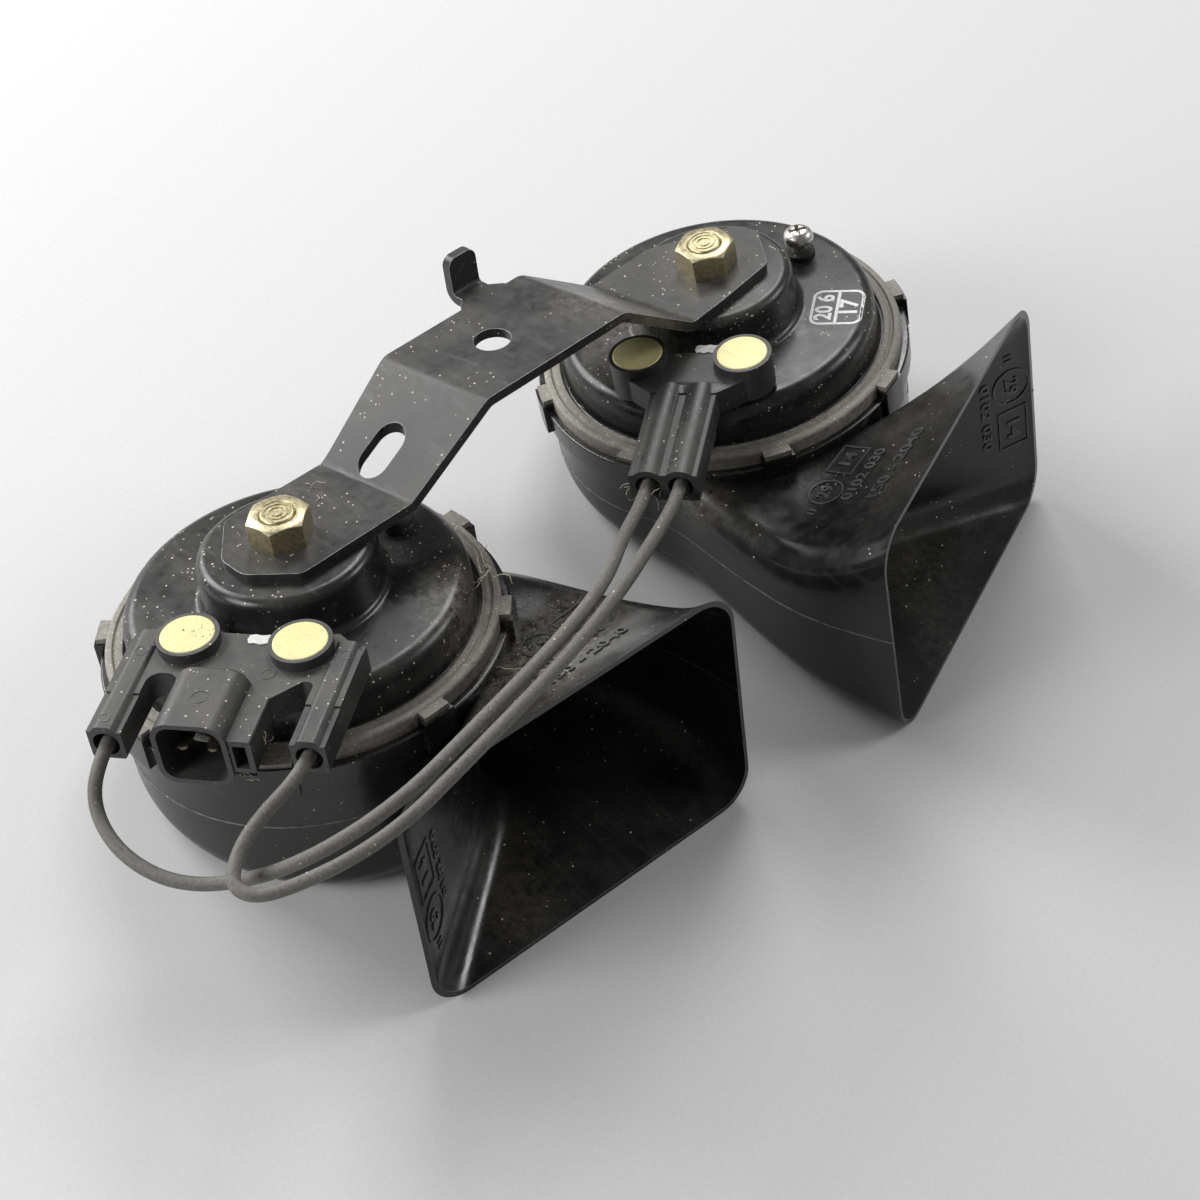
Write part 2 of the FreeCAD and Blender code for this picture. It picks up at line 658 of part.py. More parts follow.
def shells():
    """Upper shell at the disc, its roof over the mouth, and the lower shell."""
    body = trumpet()
    upper_space = Part.makeBox(400, 400, 100, v(-200, -200, SEAM_Z))
    lower_space = Part.makeBox(400, 400, 100, v(-200, -200, SEAM_Z - 100))
    upper = body.common(upper_space).fuse(posts())
    lower = body.common(lower_space)
    near = DRUM_R - 2.0
    roof = plate([(ROOF_X, 100), (ROOF_X, 14.0), (near - 4.0, 11.0), (near, -3.5), (near + 8.0, -6.0),
                  (near + 18.0, -30.0), (near + 36.0, -60.0), (near + 66.0, -60.0), (near + 66.0, 100)], SEAM_Z - 1, 40)
    return upper.cut(roof), upper.common(roof), lower


# Bracket: one strip bent along lines that both disc planes share
def bracket(left, right):
    n_left = left.Rotation.multVec(v(0, 0, 1))
    n_right = right.Rotation.multVec(v(0, 0, 1))
    across = n_left.cross(n_right).normalize()
    if across.x < 0:
        across = across * -1
    along = n_left.cross(across)
    if along.y < 0:
        along = along * -1
    frame = FreeCAD.Placement(left.Base, FreeCAD.Rotation(across, along, n_left, "XYZ"))
    inverse = frame.inverse()
    far = inverse.multVec(right.Base)
    tilt = math.acos(n_left.dot(n_right))
    plate_top = BOSS_Z + STRIP

    def right_plane(y, level):
        return far.z + (level + math.sin(tilt) * (y - far.y)) / math.cos(tilt)

    end = far.y + 30
    top = [(-40.0, plate_top), (RAMP_START, plate_top), (MIDDLE_START, MIDDLE_Z), (MIDDLE_END, MIDDLE_Z),
           (RAMP_END, right_plane(RAMP_END, plate_top)), (end, right_plane(end, plate_top))]
    under = offset_line(top, STRIP)
    outline = [(a, b, 0.0) for a, b in top] + [(a, b, 0.0) for a, b in reversed(under)]
    for i in range(1, 5):
        bend_up = i in (1, 4)
        outer = 5.5 if bend_up else 3.0
        outer = outer if bend_up else 3.0 + STRIP
        inner = outer - STRIP
        a, b, _ = outline[i]
        outline[i] = (a, b, inner if bend_up else outer)
        a, b, _ = outline[-1 - i]
        outline[-1 - i] = (a, b, outer if bend_up else inner)
    strip = Part.Face(rounded(outline, lambda a, b: v(-60, a, b))).extrude(v(140, 0, 0))

    # Strip frame: u from nut to nut, v towards the mouths
    length = math.hypot(far.x, far.y)
    turn = math.degrees(math.atan2(far.y, far.x)) - 90.0
    t = TIP_END
    h = STRIP_HALF
    w = STRIP_FAR
    shape = [(-5.4, h, 3.5), (-t, 4.0, 5.0), (-t, -4.0, 5.0), (-5.4, -h - 0.6, 3.5), (RAMP_START, -h, 20.0),
             (MIDDLE_START - 2, -w, 20.0), (RAMP_END - 4, -w, 20.0), (length - 6.0, -h - 2.6, 4.0),
             (length + t, -4.0, 5.0), (length + t, 2.0, 4.0), (length + 6.6, 12.6, 3.0),
             (length - 10, h - 0.6, 20.0), (60.0, h, 60.0)]
    plan = Part.Face(rounded(shape, lambda a, b: v(b, a, 0))).extrude(v(0, 0, 100))
    cuts = [drill(HOLE_V, HOLE_U, HOLE_R, 0, 100),
            drill(0, 0, STUD_R + 0.25, 0, 40)]
    slot = Part.Face(rounded([
        (SLOT_V - SLOT_WIDE / 2, SLOT_U - SLOT_LONG / 2, SLOT_WIDE / 2 - 0.01),
        (SLOT_V + SLOT_WIDE / 2, SLOT_U - SLOT_LONG / 2, SLOT_WIDE / 2 - 0.01),
        (SLOT_V + SLOT_WIDE / 2, SLOT_U + SLOT_LONG / 2, SLOT_WIDE / 2 - 0.01),
        (SLOT_V - SLOT_WIDE / 2, SLOT_U + SLOT_LONG / 2, SLOT_WIDE / 2 - 0.01)])).extrude(v(0, 0, 100))
    cuts.append(slot)
    for piece in [plan] + cuts:
        piece.rotate(v(0, 0, 0), v(0, 0, 1), turn)
    body = strip.common(plan).cut(cuts)
    body.Placement = frame.multiply(body.Placement)

    stud_hole = drill(0, 0, STUD_R + 0.25, 0, 60)
    stud_hole.Placement = right
    body = body.cut(stud_hole)

    # Tab on the far edge, bent up
    z1 = MIDDLE_Z
    z0 = MIDDLE_Z - STRIP
    side = [(-w + 3.0, z1), (-TAB_OUT + STRIP, z1, 1.0), (-TAB_OUT + STRIP, TAB_TOP), (-TAB_OUT, TAB_TOP),
            (-TAB_OUT, z0, 1.0 + STRIP), (-w + 3.0, z0)]
    tab = Part.Face(rounded(side, lambda a, b: v(a, TAB_U - TAB_WIDE / 2, b))).extrude(v(0, TAB_WIDE, 0))
    tips = [e for e in tab.Edges if abs(e.BoundBox.ZMin - TAB_TOP) < 1e-4 and e.BoundBox.XLength > 1 and e.BoundBox.YLength < 1e-4]
    tab = tab.makeFillet(2.6, tips)
    root = [(-w + 1.0, -TAB_WIDE / 2 - 3.0), (-w - 0.3, -TAB_WIDE / 2 - 3.0, 2.0), (-w - 3.2, -TAB_WIDE / 2, 0.0),
            (-w - 3.2, TAB_WIDE / 2, 0.0), (-w - 0.3, TAB_WIDE / 2 + 3.0, 2.0), (-w + 1.0, TAB_WIDE / 2 + 3.0)]
    gusset = Part.Face(rounded(root, lambda a, b: v(a, TAB_U + b, z0))).extrude(v(0, 0, STRIP))
    tab = tab.fuse(gusset)
    tab.rotate(v(0, 0, 0), v(0, 0, 1), turn)
    tab.Placement = frame.multiply(tab.Placement)
    return body.fuse(tab).removeSplitter()


def offset_line(points, depth):
    """Lower line of a strip of constant thickness below a run of points."""
    lines = []
    for (a, b), (c, d) in zip(points, points[1:]):
        size = math.hypot(c - a, d - b)
        nx, ny = (d - b) / size, -(c - a) / size
        lines.append(((a + nx * depth, b + ny * depth), (c - a, d - b)))
    out = [lines[0][0]]
    for (p, s), (q, t) in zip(lines, lines[1:]):
        cross = s[0] * t[1] - s[1] * t[0]
        k = ((q[0] - p[0]) * t[1] - (q[1] - p[1]) * t[0]) / cross
        out.append((p[0] + k * s[0], p[1] + k * s[1]))
    last, s = lines[-1]
    out.append((last[0] + s[0], last[1] + s[1]))
    return out


# Route of a cord as straight runs joined by tangent arcs
def cord(points, radius, name):
    edges = []
    here = points[0]
    smallest = 1e9
    for i in range(1, len(points) - 1):
        a, b, c = points[i - 1], points[i], points[i + 1]
        back = (a - b)
        on = (c - b)
        shorter = min(back.Length, on.Length)
        back = back.normalize()
        on = on.normalize()
        half_turn = (math.pi - math.acos(max(-1, min(1, back.dot(on))))) / 2
        reach = 0.45 * shorter
        bend = reach / math.tan(half_turn)
        smallest = min(smallest, bend)
        start = b + back * reach
        finish = b + on * reach
        middle = b + (back + on).normalize() * (bend / math.cos(half_turn) - bend)
        edges.append(Part.makeLine(here, start))
        edges.append(Part.Arc(start, middle, finish).toShape())
        here = finish
    edges.append(Part.makeLine(here, points[-1]))
    path = Part.Wire(edges)
    first = (points[1] - points[0]).normalize()
    section = Part.Wire(Part.makeCircle(radius, points[0], first))
    body = path.makePipeShell([section], True, False)
    length = path.Length
    print(name, "length", round(length, 1), "smallest radius", round(smallest, 2),
          "volume ratio", round(body.Volume / (math.pi * radius ** 2 * length), 4))
    return body


def stand(yaw, x, y):
    lean = FreeCAD.Rotation(v(0, 1, 0), -LEAN)
    turn = FreeCAD.Rotation(v(0, 0, 1), yaw)
    return FreeCAD.Placement(v(x, y, RING_HEIGHT), turn.multiply(lean))


def moved(shape, placement):
    out = shape.copy()
    out.Placement = placement.multiply(out.Placement)
    return out


def outlet(placement, connector, end_v, end):
    """Seat, mouth and direction of a wire outlet, in the standing frame."""
    turn = FreeCAD.Placement(v(0, 0, 0), FreeCAD.Rotation(v(0, 0, 1), connector))
    full = placement.multiply(turn)
    seat = full.multVec(v(end - OUTLET_DEPTH, end_v, OUTLET_Z))
    ahead = full.Rotation.multVec(v(1, 0, 0))
    return seat, ahead


def wires(left, right):
    """Two wires, each from a seat in one block to a seat in the other."""
    out = []
    mids = {
        "wire_1": [(15.6, -70.6, 48.5), (26.7, -73.4, 46.0), (39.5, -70.8, 45.5), (50.4, -63.3, 48.0),
                   (62.7, -52.0, 58.0), (70.1, -32.2, 67.5), (68.0, -8.0, 70.5), (63.8, 19.2, 70.5),
                   (56.7, 40.2, 66.0), (44.5, 59.0, 57.5)],
        "wire_2": [(48.6, -52.2, 59.0), (51.6, -60.8, 57.2), (57.2, -66.4, 56.8),
                   (64.4, -61.8, 57.6), (74.8, -40.0, 66.6), (73.0, -14.0, 70.5), (68.6, 14.6, 70.5),
                   (60.9, 40.8, 66.5), (51.5, 61.0, 59.5)],
    }
    ends = {
        "wire_1": (outlet(left, LEFT_CONNECTOR, -ARM_V, ARM_END), outlet(right, RIGHT_CONNECTOR, -TWIN_V, TWIN_END)),
        "wire_2": (outlet(left, LEFT_CONNECTOR, ARM_V, ARM_END), outlet(right, RIGHT_CONNECTOR, TWIN_V, TWIN_END)),
    }
    for name in ("wire_1", "wire_2"):
        (a, da), (b, db) = ends[name]
        lead = OUTLET_DEPTH + 4.0
        route = [a, a + da * lead]
        route += [v(*p) for p in mids[name]]
        route += [b + db * lead, b]
        out.append((name, cord(route, WIRE_R, name)))
    return out


def horn(side, placement, connector, mirrored, block, strap_list, screw_z, nut_turn):
    turn = FreeCAD.Placement(v(0, 0, 0), FreeCAD.Rotation(v(0, 0, 1), connector))
    full = placement.multiply(turn)
    terminals = strap_list
    body = block.cut(terminals)
    for x, y in rivet_spots():
        body = body.cut(drill(x, y, RIVET_SHANK_R, 0, BOSS_Z))
    nodes = {}
    nodes["housing"] = [housing()]
    nodes["gaskets"] = gaskets()
    nodes["diaphragm"] = [diaphragm()]
    nodes["armature"] = [armature()]
    nodes["pole_core"] = [pole_core()]
    nodes["bobbin"] = [bobbin()]
    nodes["winding"] = [winding()]
    nodes["insulators"] = insulators()
    nodes["fixed_contact"] = [fixed_contact()]
    nodes["moving_contact"] = [moving_contact()]
    nodes["rivets"] = rivets()
    nodes["adjusting_screw"] = [adjusting_screw(screw_z)]
    nodes["screw_washer"] = [screw_washer()]
    nodes["nut"] = [hex_nut(nut_turn)]
    nodes["insulating_pad"] = [insulating_pad()]
    nodes["terminals"] = terminals
    nodes["connector_block"] = [body.removeSplitter()]
    out = [(side + "_" + key, [moved(s, full) for s in solids]) for key, solids in nodes.items()]
    upper, roof, lower = shells()
    pieces = {"clamp_ring": clamp_ring(), "trumpet_upper": upper, "trumpet_roof": roof, "trumpet_lower": lower}
    for key, solid in pieces.items():
        if mirrored:
            solid = solid.mirror(v(0, 0, 0), v(0, 1, 0))
        out.append((side + "_" + key, [moved(solid, placement)]))
    return out


def main():
    left = stand(LEFT_YAW, 0, 0)
    right = stand(RIGHT_YAW, RIGHT_X, RIGHT_Y)
    nodes = []
    left_straps = straps(ARM_V, ARM_END, 35.0, True)
    right_straps = straps(TWIN_V, TWIN_END, 39.0, False)
    nodes += horn("left", left, LEFT_CONNECTOR, False, socket_block(), left_straps, DOME_Z + 1.6, LEFT_NUT)
    nodes += horn("right", right, RIGHT_CONNECTOR, True, twin_block(), right_straps, DOME_Z + 4.6, RIGHT_NUT)
    nodes.append(("mounting_bracket", [bracket(left, right)]))
    box = FreeCAD.BoundBox()
    for _, solids in nodes:
        for s in solids:
            box.add(s.optimalBoundingBox(False, False))
    cords = wires(left, right)
    nodes += [(name, [solid]) for name, solid in cords]
    shift = v(-(box.XMin + box.XMax) / 2, -(box.YMin + box.YMax) / 2, -box.ZMin)
    print("shift", tuple(round(c, 4) for c in shift))
    print("size", round(box.XLength, 2), round(box.YLength, 2), round(box.ZLength, 2))
    for name, solids in nodes:
        placed = [s.translated(shift) for s in solids]
        shape = placed[0] if len(placed) == 1 else Part.makeCompound(placed)
        shape.exportStep("parts/" + name + ".step")
        print(name, "solids", len(shape.Solids), "volume", round(shape.Volume, 1), "valid", shape.isValid())


main()
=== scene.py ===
# %% [markdown]
# # A pair of snail horns on one bracket
# Two electric horns hang on one bent steel strip, and two short wires join their
# plastic connector blocks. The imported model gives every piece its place, so each piece here
# is made in the horn's own axes and then put where its horn stands.

# %% Load the frame
import math
import random
import bmesh
import bpy
from mathutils import Matrix, Vector, noise
from mathutils.bvhtree import BVHTree


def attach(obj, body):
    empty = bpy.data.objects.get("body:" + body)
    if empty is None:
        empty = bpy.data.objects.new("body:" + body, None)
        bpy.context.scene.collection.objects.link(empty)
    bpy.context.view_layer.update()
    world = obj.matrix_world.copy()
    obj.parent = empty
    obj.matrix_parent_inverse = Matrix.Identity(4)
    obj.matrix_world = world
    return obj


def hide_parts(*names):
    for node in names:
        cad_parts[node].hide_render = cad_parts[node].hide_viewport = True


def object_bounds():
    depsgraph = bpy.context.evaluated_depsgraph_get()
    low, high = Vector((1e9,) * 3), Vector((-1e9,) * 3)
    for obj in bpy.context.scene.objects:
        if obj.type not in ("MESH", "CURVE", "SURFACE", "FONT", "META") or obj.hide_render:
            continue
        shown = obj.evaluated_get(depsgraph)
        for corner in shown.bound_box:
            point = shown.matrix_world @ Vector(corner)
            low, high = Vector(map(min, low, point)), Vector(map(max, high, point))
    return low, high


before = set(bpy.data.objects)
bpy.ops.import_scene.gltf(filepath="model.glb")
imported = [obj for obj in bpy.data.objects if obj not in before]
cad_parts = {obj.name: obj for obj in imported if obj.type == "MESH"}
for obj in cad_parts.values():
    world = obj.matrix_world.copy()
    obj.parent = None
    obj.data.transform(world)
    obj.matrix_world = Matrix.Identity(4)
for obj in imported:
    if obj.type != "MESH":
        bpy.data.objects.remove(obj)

cad_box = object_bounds()
MM = 0.001
print("nodes", len(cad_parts), "box", [tuple(round(c, 4) for c in corner) for corner in cad_box])

# %% [markdown]
# The horns lean back on the table, each with its disc turned a little. A frame is a matrix:
# multiplied with a point of the horn, it gives the place in the room. The connector sits on the
# disc at its own angle, so it gets a second frame that is turned about the disc axis.

# %% Frames of the two horns
SHIFT = Vector((-27.6092, -62.299, 0.0))
RING_HEIGHT = 37.66
LEAN = 13.067


def horn_frame(x, y, yaw):
    place = Matrix.Translation((SHIFT + Vector((x, y, RING_HEIGHT))) * MM)
    turn = Matrix.Rotation(math.radians(yaw), 4, "Z")
    lean = Matrix.Rotation(math.radians(-LEAN), 4, "Y")
    return place @ turn @ lean


def turned_about_disc(horn, angle):
    return horn @ Matrix.Rotation(math.radians(angle), 4, "Z")


HORNS = {"left": horn_frame(0.0, 0.0, -4.6), "right": horn_frame(3.2, 137.2, 18.2)}
BLOCKS = {"left": turned_about_disc(HORNS["left"], -52.0), "right": turned_about_disc(HORNS["right"], -74.0)}
for side in HORNS:
    print(side, "ring centre", [round(c * 1000, 2) for c in HORNS[side].translation])

# %% [markdown]
# The camera looks down steeply over the right side of the wires, as a hand-held phone does. A long lens
# keeps the far horn nearly as large as the near one.

# %% Camera
camera_data = bpy.data.cameras.new("camera")
camera_data.sensor_width = 36.0
camera_data.lens = 73.98
camera_data.clip_start = 0.01
camera = bpy.data.objects.new("camera", camera_data)
bpy.context.scene.collection.objects.link(camera)
CAMERA_AXES = Matrix((
    (0.70729, -0.56058, 0.43068),
    (0.70588, 0.52688, -0.47343),
    (0.03848, 0.63886, 0.76836),
))
camera.matrix_world = Matrix.Translation((SHIFT + Vector((290.30, -218.00, 478.12))) * MM) @ CAMERA_AXES.to_4x4()
bpy.context.scene.camera = camera
print("camera at", [round(c, 4) for c in camera.matrix_world.translation])

# %% [markdown]
# The wires are grey PVC leads, stiff enough to stand in a wide loop. Each is one NURBS curve:
# the points pull the line without lying on it, which gives the soft bends of a real lead. The
# thickness is the radius of the points times the bevel depth, so a depth of one keeps it in metres.

# %% Wires
WIRE_R = 1.55
ROUTES = {
    "wire_1": (-1, [(15.6, -70.6, 48.5), (26.7, -73.4, 46.0), (39.5, -70.8, 45.5), (50.4, -63.3, 48.0),
                    (62.7, -52.0, 58.0), (70.1, -32.2, 67.5), (68.0, -8.0, 70.5), (63.8, 19.2, 70.5),
                    (56.7, 40.2, 66.0), (44.5, 59.0, 57.5)]),
    "wire_2": (1, [(48.6, -52.2, 59.0), (51.6, -60.8, 57.2), (57.2, -66.4, 56.8),
                   (64.4, -61.8, 57.6), (74.8, -40.0, 66.6), (73.0, -14.0, 70.5), (68.6, 14.6, 70.5),
                   (60.9, 40.8, 66.5), (51.5, 61.0, 59.5)]),
}
OUTLETS = {"left": (59.0, 22.6), "right": (71.0, 3.9)}


def outlet_points(side, way):
    end, across = OUTLETS[side]
    seat = BLOCKS[side] @ (Vector((end - 7.0, way * across, 14.0)) * MM)
    ahead = BLOCKS[side] @ (Vector((end + 4.0, way * across, 14.0)) * MM)
    return seat, ahead


def wire(name):
    way, middle = ROUTES[name]
    points = list(outlet_points("left", way))
    points += [(SHIFT + Vector(p)) * MM for p in middle]
    points += reversed(outlet_points("right", way))
    line = bpy.data.curves.new(name + "_line", "CURVE")
    line.dimensions = "3D"
    spline = line.splines.new("NURBS")
    spline.points.add(len(points) - 1)
    for knot, p in zip(spline.points, points):
        knot.co = (p.x, p.y, p.z, 1.0)
        knot.radius = WIRE_R * MM
    spline.order_u = 3
    spline.use_endpoint_u = True
    spline.resolution_u = 12
    line.bevel_depth = 1.0
    line.bevel_resolution = 5
    line.use_fill_caps = True
    piece = bpy.data.objects.new(name + "_lead", line)
    bpy.context.scene.collection.objects.link(piece)
    return piece, points[0]


leads = {}
for name in ROUTES:
    piece, exit_point = wire(name)
    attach(piece, "root")
    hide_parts(name)
    leads[name] = piece
    print(name, "points", len(piece.data.splines[0].points))

# %% [markdown]
# A pale seamless floor and four soft lamps. Black plastic shows little colour of its own: what
# is seen on it is the reflection of the lamps, so their size and place shape every highlight.

# %% Floor and light
floor_mesh = bpy.data.meshes.new("floor")
floor_mesh.from_pydata([(-4, -4, 0), (4, -4, 0), (4, 4, 0), (-4, 4, 0)], [], [(0, 1, 2, 3)])
floor = bpy.data.objects.new("floor", floor_mesh)
bpy.context.scene.collection.objects.link(floor)


def soft_lamp(name, place, aim, size, power):
    lamp = bpy.data.lights.new(name, "AREA")
    lamp.shape = "RECTANGLE"
    lamp.size, lamp.size_y = size
    lamp.energy = power
    holder = bpy.data.objects.new(name, lamp)
    holder.location = place
    holder.rotation_euler = (Vector(aim) - Vector(place)).to_track_quat("-Z", "Y").to_euler()
    bpy.context.scene.collection.objects.link(holder)
    return holder


soft_lamp("lamp_back", (-0.72, 0.72, 1.0), (0.0, 0.0, 0.03), (0.6, 0.5), 9.2)
soft_lamp("lamp_front", (-0.36, -0.92, 0.54), (0.0, 0.0, 0.03), (0.42, 0.5), 7.5)
soft_lamp("lamp_left", (-0.98, -0.12, 0.50), (0.0, 0.0, 0.03), (0.5, 0.6), 9.5)
soft_lamp("lamp_right", (0.5, 0.95, 0.8), (0.0, 0.0, 0.03), (0.4, 0.4), 4.5)
world = bpy.data.worlds.new("room")
bpy.context.scene.world = world
world.use_nodes = True
world.node_tree.nodes["Background"].inputs["Color"].default_value = (0.5, 0.5, 0.5, 1.0)
world.node_tree.nodes["Background"].inputs["Strength"].default_value = 0.36
bpy.context.scene.view_settings.view_transform = "Standard"

# %% [markdown]
# Dust lies on what faces up, in patches and in single grains. This effect is on nearly every piece,
# so it is one node group: each material places it with its own amounts.

# %% Node helpers
def node(tree, kind, inputs=None, **settings):
    made = tree.nodes.new(kind)
    for key, value in settings.items():
        setattr(made, key, value)
    for key, value in (inputs or {}).items():
        if isinstance(value, bpy.types.NodeSocket):
            tree.links.new(value, made.inputs[key])
        else:
            made.inputs[key].default_value = value
    return made


def math_node(tree, operation, a, b=0.0, clamp=False):
    return node(tree, "ShaderNodeMath", {0: a, 1: b}, operation=operation, use_clamp=clamp).outputs[0]


def ramp(tree, value, low, high, to_low=0.0, to_high=1.0):
    made = node(tree, "ShaderNodeMapRange",
                {"Value": value, "From Min": low, "From Max": high, "To Min": to_low, "To Max": to_high})
    return made.outputs["Result"]


def new_group(name, inputs, outputs):
    group = bpy.data.node_groups.new(name, "ShaderNodeTree")
    for label, default in inputs:
        socket = group.interface.new_socket(name=label, in_out="INPUT", socket_type="NodeSocketFloat")
        socket.default_value = default
    for label in outputs:
        group.interface.new_socket(name=label, in_out="OUTPUT", socket_type="NodeSocketFloat")
    return group, group.nodes.new("NodeGroupInput"), group.nodes.new("NodeGroupOutput")


# %% Group for dust and grit
dust, given, put = new_group("dust_and_grit", [("Film", 0.5), ("Grit", 0.3), ("Patch size", 60.0)],
                             ["Film", "Grit"])
place = node(dust, "ShaderNodeTexCoord").outputs["Object"]
facing = node(dust, "ShaderNodeSeparateXYZ", {0: node(dust, "ShaderNodeNewGeometry").outputs["Normal"]}).outputs["Z"]
upward = ramp(dust, facing, -0.1, 0.85)
patches = node(dust, "ShaderNodeTexNoise", {"Vector": place, "Scale": given.outputs["Patch size"], "Detail": 6.0,
                                            "Roughness": 0.62}).outputs["Fac"]
fine = node(dust, "ShaderNodeTexNoise", {"Vector": place, "Scale": 1400.0, "Detail": 3.0}).outputs["Fac"]
film = math_node(dust, "MULTIPLY", ramp(dust, patches, 0.38, 0.72), ramp(dust, fine, 0.35, 0.62, 0.6, 1.0))
film = math_node(dust, "MULTIPLY", film, upward)
dust.links.new(math_node(dust, "MULTIPLY", film, given.outputs["Film"], clamp=True), put.inputs["Film"])
cells = node(dust, "ShaderNodeTexVoronoi", {"Vector": place, "Scale": 1150.0, "Randomness": 1.0})
chance = node(dust, "ShaderNodeSeparateColor", {0: cells.outputs["Color"]})
size = math_node(dust, "ADD", math_node(dust, "MULTIPLY", chance.outputs["Green"], 0.2), 0.12)
inside = math_node(dust, "LESS_THAN", cells.outputs["Distance"], size)
limit = math_node(dust, "MULTIPLY", given.outputs["Grit"], ramp(dust, patches, 0.42, 0.66, 0.1, 2.4))
chosen = math_node(dust, "LESS_THAN", chance.outputs["Red"], limit)
grit = math_node(dust, "MULTIPLY", math_node(dust, "MULTIPLY", inside, chosen), ramp(dust, facing, 0.0, 0.4))
dust.links.new(grit, put.inputs["Grit"])
print("dust group nodes", len(dust.nodes))

# %% [markdown]
# Fine scratches are thin bands of a stretched noise. They pull the colour towards a dark grey and cut a shallow
# groove in the height, as on real black plastic.

# %% Group for scratches and moulded grain
scuffs, given, put = new_group("scuffs_and_grain", [("Grain size", 900.0), ("Scratches", 0.4)], ["Scratch", "Grain"])
place = node(scuffs, "ShaderNodeTexCoord").outputs["Object"]
layers = []
for turn in (0.35, 1.6, 2.7):
    stretched = node(scuffs, "ShaderNodeMapping", {"Vector": place, "Rotation": (turn, turn * 0.7, turn * 1.9),
                                                   "Scale": (14.0, 420.0, 420.0)}).outputs[0]
    lines = node(scuffs, "ShaderNodeTexNoise", {"Vector": stretched, "Scale": 1.0, "Detail": 2.0}).outputs["Fac"]
    layers.append(ramp(scuffs, lines, 0.665, 0.69))
scratch = math_node(scuffs, "MAXIMUM", math_node(scuffs, "MAXIMUM", layers[0], layers[1]), layers[2])
scuffs.links.new(math_node(scuffs, "MULTIPLY", scratch, given.outputs["Scratches"]), put.inputs["Scratch"])
grain = node(scuffs, "ShaderNodeTexNoise", {"Vector": place, "Scale": given.outputs["Grain size"], "Detail": 4.0})
scuffs.links.new(grain.outputs["Fac"], put.inputs["Grain"])
print("scuff group nodes", len(scuffs.nodes))

# %% [markdown]
# One recipe serves all finishes: the clean colour varies a little, and dust covers it and takes
# the gloss away. A worn edge is a finish of its own, broken up by noise, and goes on the rounds
# of the edges only.

# %% Recipe for a finish
DUST_COLOUR = (0.20, 0.185, 0.155, 1.0)
GRIT_COLOUR = (0.56, 0.52, 0.43, 1.0)


def mixed(tree, amount, a, b):
    made = node(tree, "ShaderNodeMix", data_type="RGBA")
    for key, value in ((0, amount), (6, a), (7, b)):
        if isinstance(value, bpy.types.NodeSocket):
            tree.links.new(value, made.inputs[key])
        else:
            made.inputs[key].default_value = value
    return made.outputs[2]


def finish(name, colour, second, rough, metal=0.0, film=0.4, grit=0.1, scratches=0.3, grain_size=900.0,
           grain_depth=0.00002, patch=60.0, dust_colour=DUST_COLOUR, bare=None, bare_share=0.5, shine=0.5,
           spots=()):
    material = bpy.data.materials.new(name)
    material.use_nodes = True
    tree = material.node_tree
    shader = tree.nodes["Principled BSDF"]
    over = node(tree, "ShaderNodeGroup", node_tree=dust)
    over.inputs["Film"].default_value = film
    over.inputs["Grit"].default_value = grit
    over.inputs["Patch size"].default_value = patch
    marks = node(tree, "ShaderNodeGroup", node_tree=scuffs)
    marks.inputs["Grain size"].default_value = grain_size
    marks.inputs["Scratches"].default_value = scratches
    base = mixed(tree, ramp(tree, marks.outputs["Grain"], 0.35, 0.65), colour, second)
    if bare is not None:
        place = node(tree, "ShaderNodeTexCoord").outputs["Object"]
        broken = node(tree, "ShaderNodeTexNoise", {"Vector": place, "Scale": 180.0, "Detail": 6.0,
                                                   "Roughness": 0.7}).outputs["Fac"]
        low = 0.72 - 0.5 * bare_share
        base = mixed(tree, ramp(tree, broken, low, low + 0.16), base, bare)
    base = mixed(tree, marks.outputs["Scratch"], base, (0.06, 0.06, 0.06, 1))
    roughness = ramp(tree, marks.outputs["Grain"], 0.3, 0.7, rough - 0.05, rough + 0.07)
    # A spot mixes a pale brownish speckled patch into the colour. On the mouth floors of the trumpets this patch is a
    # painted highlight, and on the right ramp of the bracket it is dust and painted sheen together.
    for side, centre, radius, strength in spots:
        there = HORNS[side] @ (Vector(centre) * MM)
        place = node(tree, "ShaderNodeTexCoord").outputs["Object"]
        apart = node(tree, "ShaderNodeVectorMath", {0: place, 1: there}, operation="DISTANCE").outputs["Value"]
        specks = node(tree, "ShaderNodeTexNoise", {"Vector": place, "Scale": 520.0, "Detail": 8.0,
                                                   "Roughness": 0.75}).outputs["Fac"]
        dust_and_sheen_patch = math_node(tree, "MULTIPLY", ramp(tree, apart, radius * MM, 0.3 * radius * MM), strength)
        dust_and_sheen_patch = math_node(tree, "MULTIPLY", dust_and_sheen_patch, ramp(tree, specks, 0.4, 0.66), clamp=True)
        base = mixed(tree, dust_and_sheen_patch, base, (0.27, 0.245, 0.195, 1))
    base = mixed(tree, over.outputs["Film"], base, dust_colour)
    base = mixed(tree, over.outputs["Grit"], base, GRIT_COLOUR)
    tree.links.new(base, shader.inputs["Base Color"])
    roughness = math_node(tree, "ADD", roughness, math_node(tree, "MULTIPLY", over.outputs["Film"], 0.5), clamp=True)
    tree.links.new(roughness, shader.inputs["Roughness"])
    shader.inputs["Metallic"].default_value = metal
    shader.inputs["Specular IOR Level"].default_value = shine
    groove = math_node(tree, "MULTIPLY", marks.outputs["Scratch"], 0.5)
    height = math_node(tree, "SUBTRACT", marks.outputs["Grain"], groove)
    height = math_node(tree, "ADD", height, math_node(tree, "MULTIPLY", over.outputs["Grit"], 3.0))
    bump = node(tree, "ShaderNodeBump", {"Height": height, "Strength": 0.6, "Distance": grain_depth})
    tree.links.new(bump.outputs["Normal"], shader.inputs["Normal"])
    return material


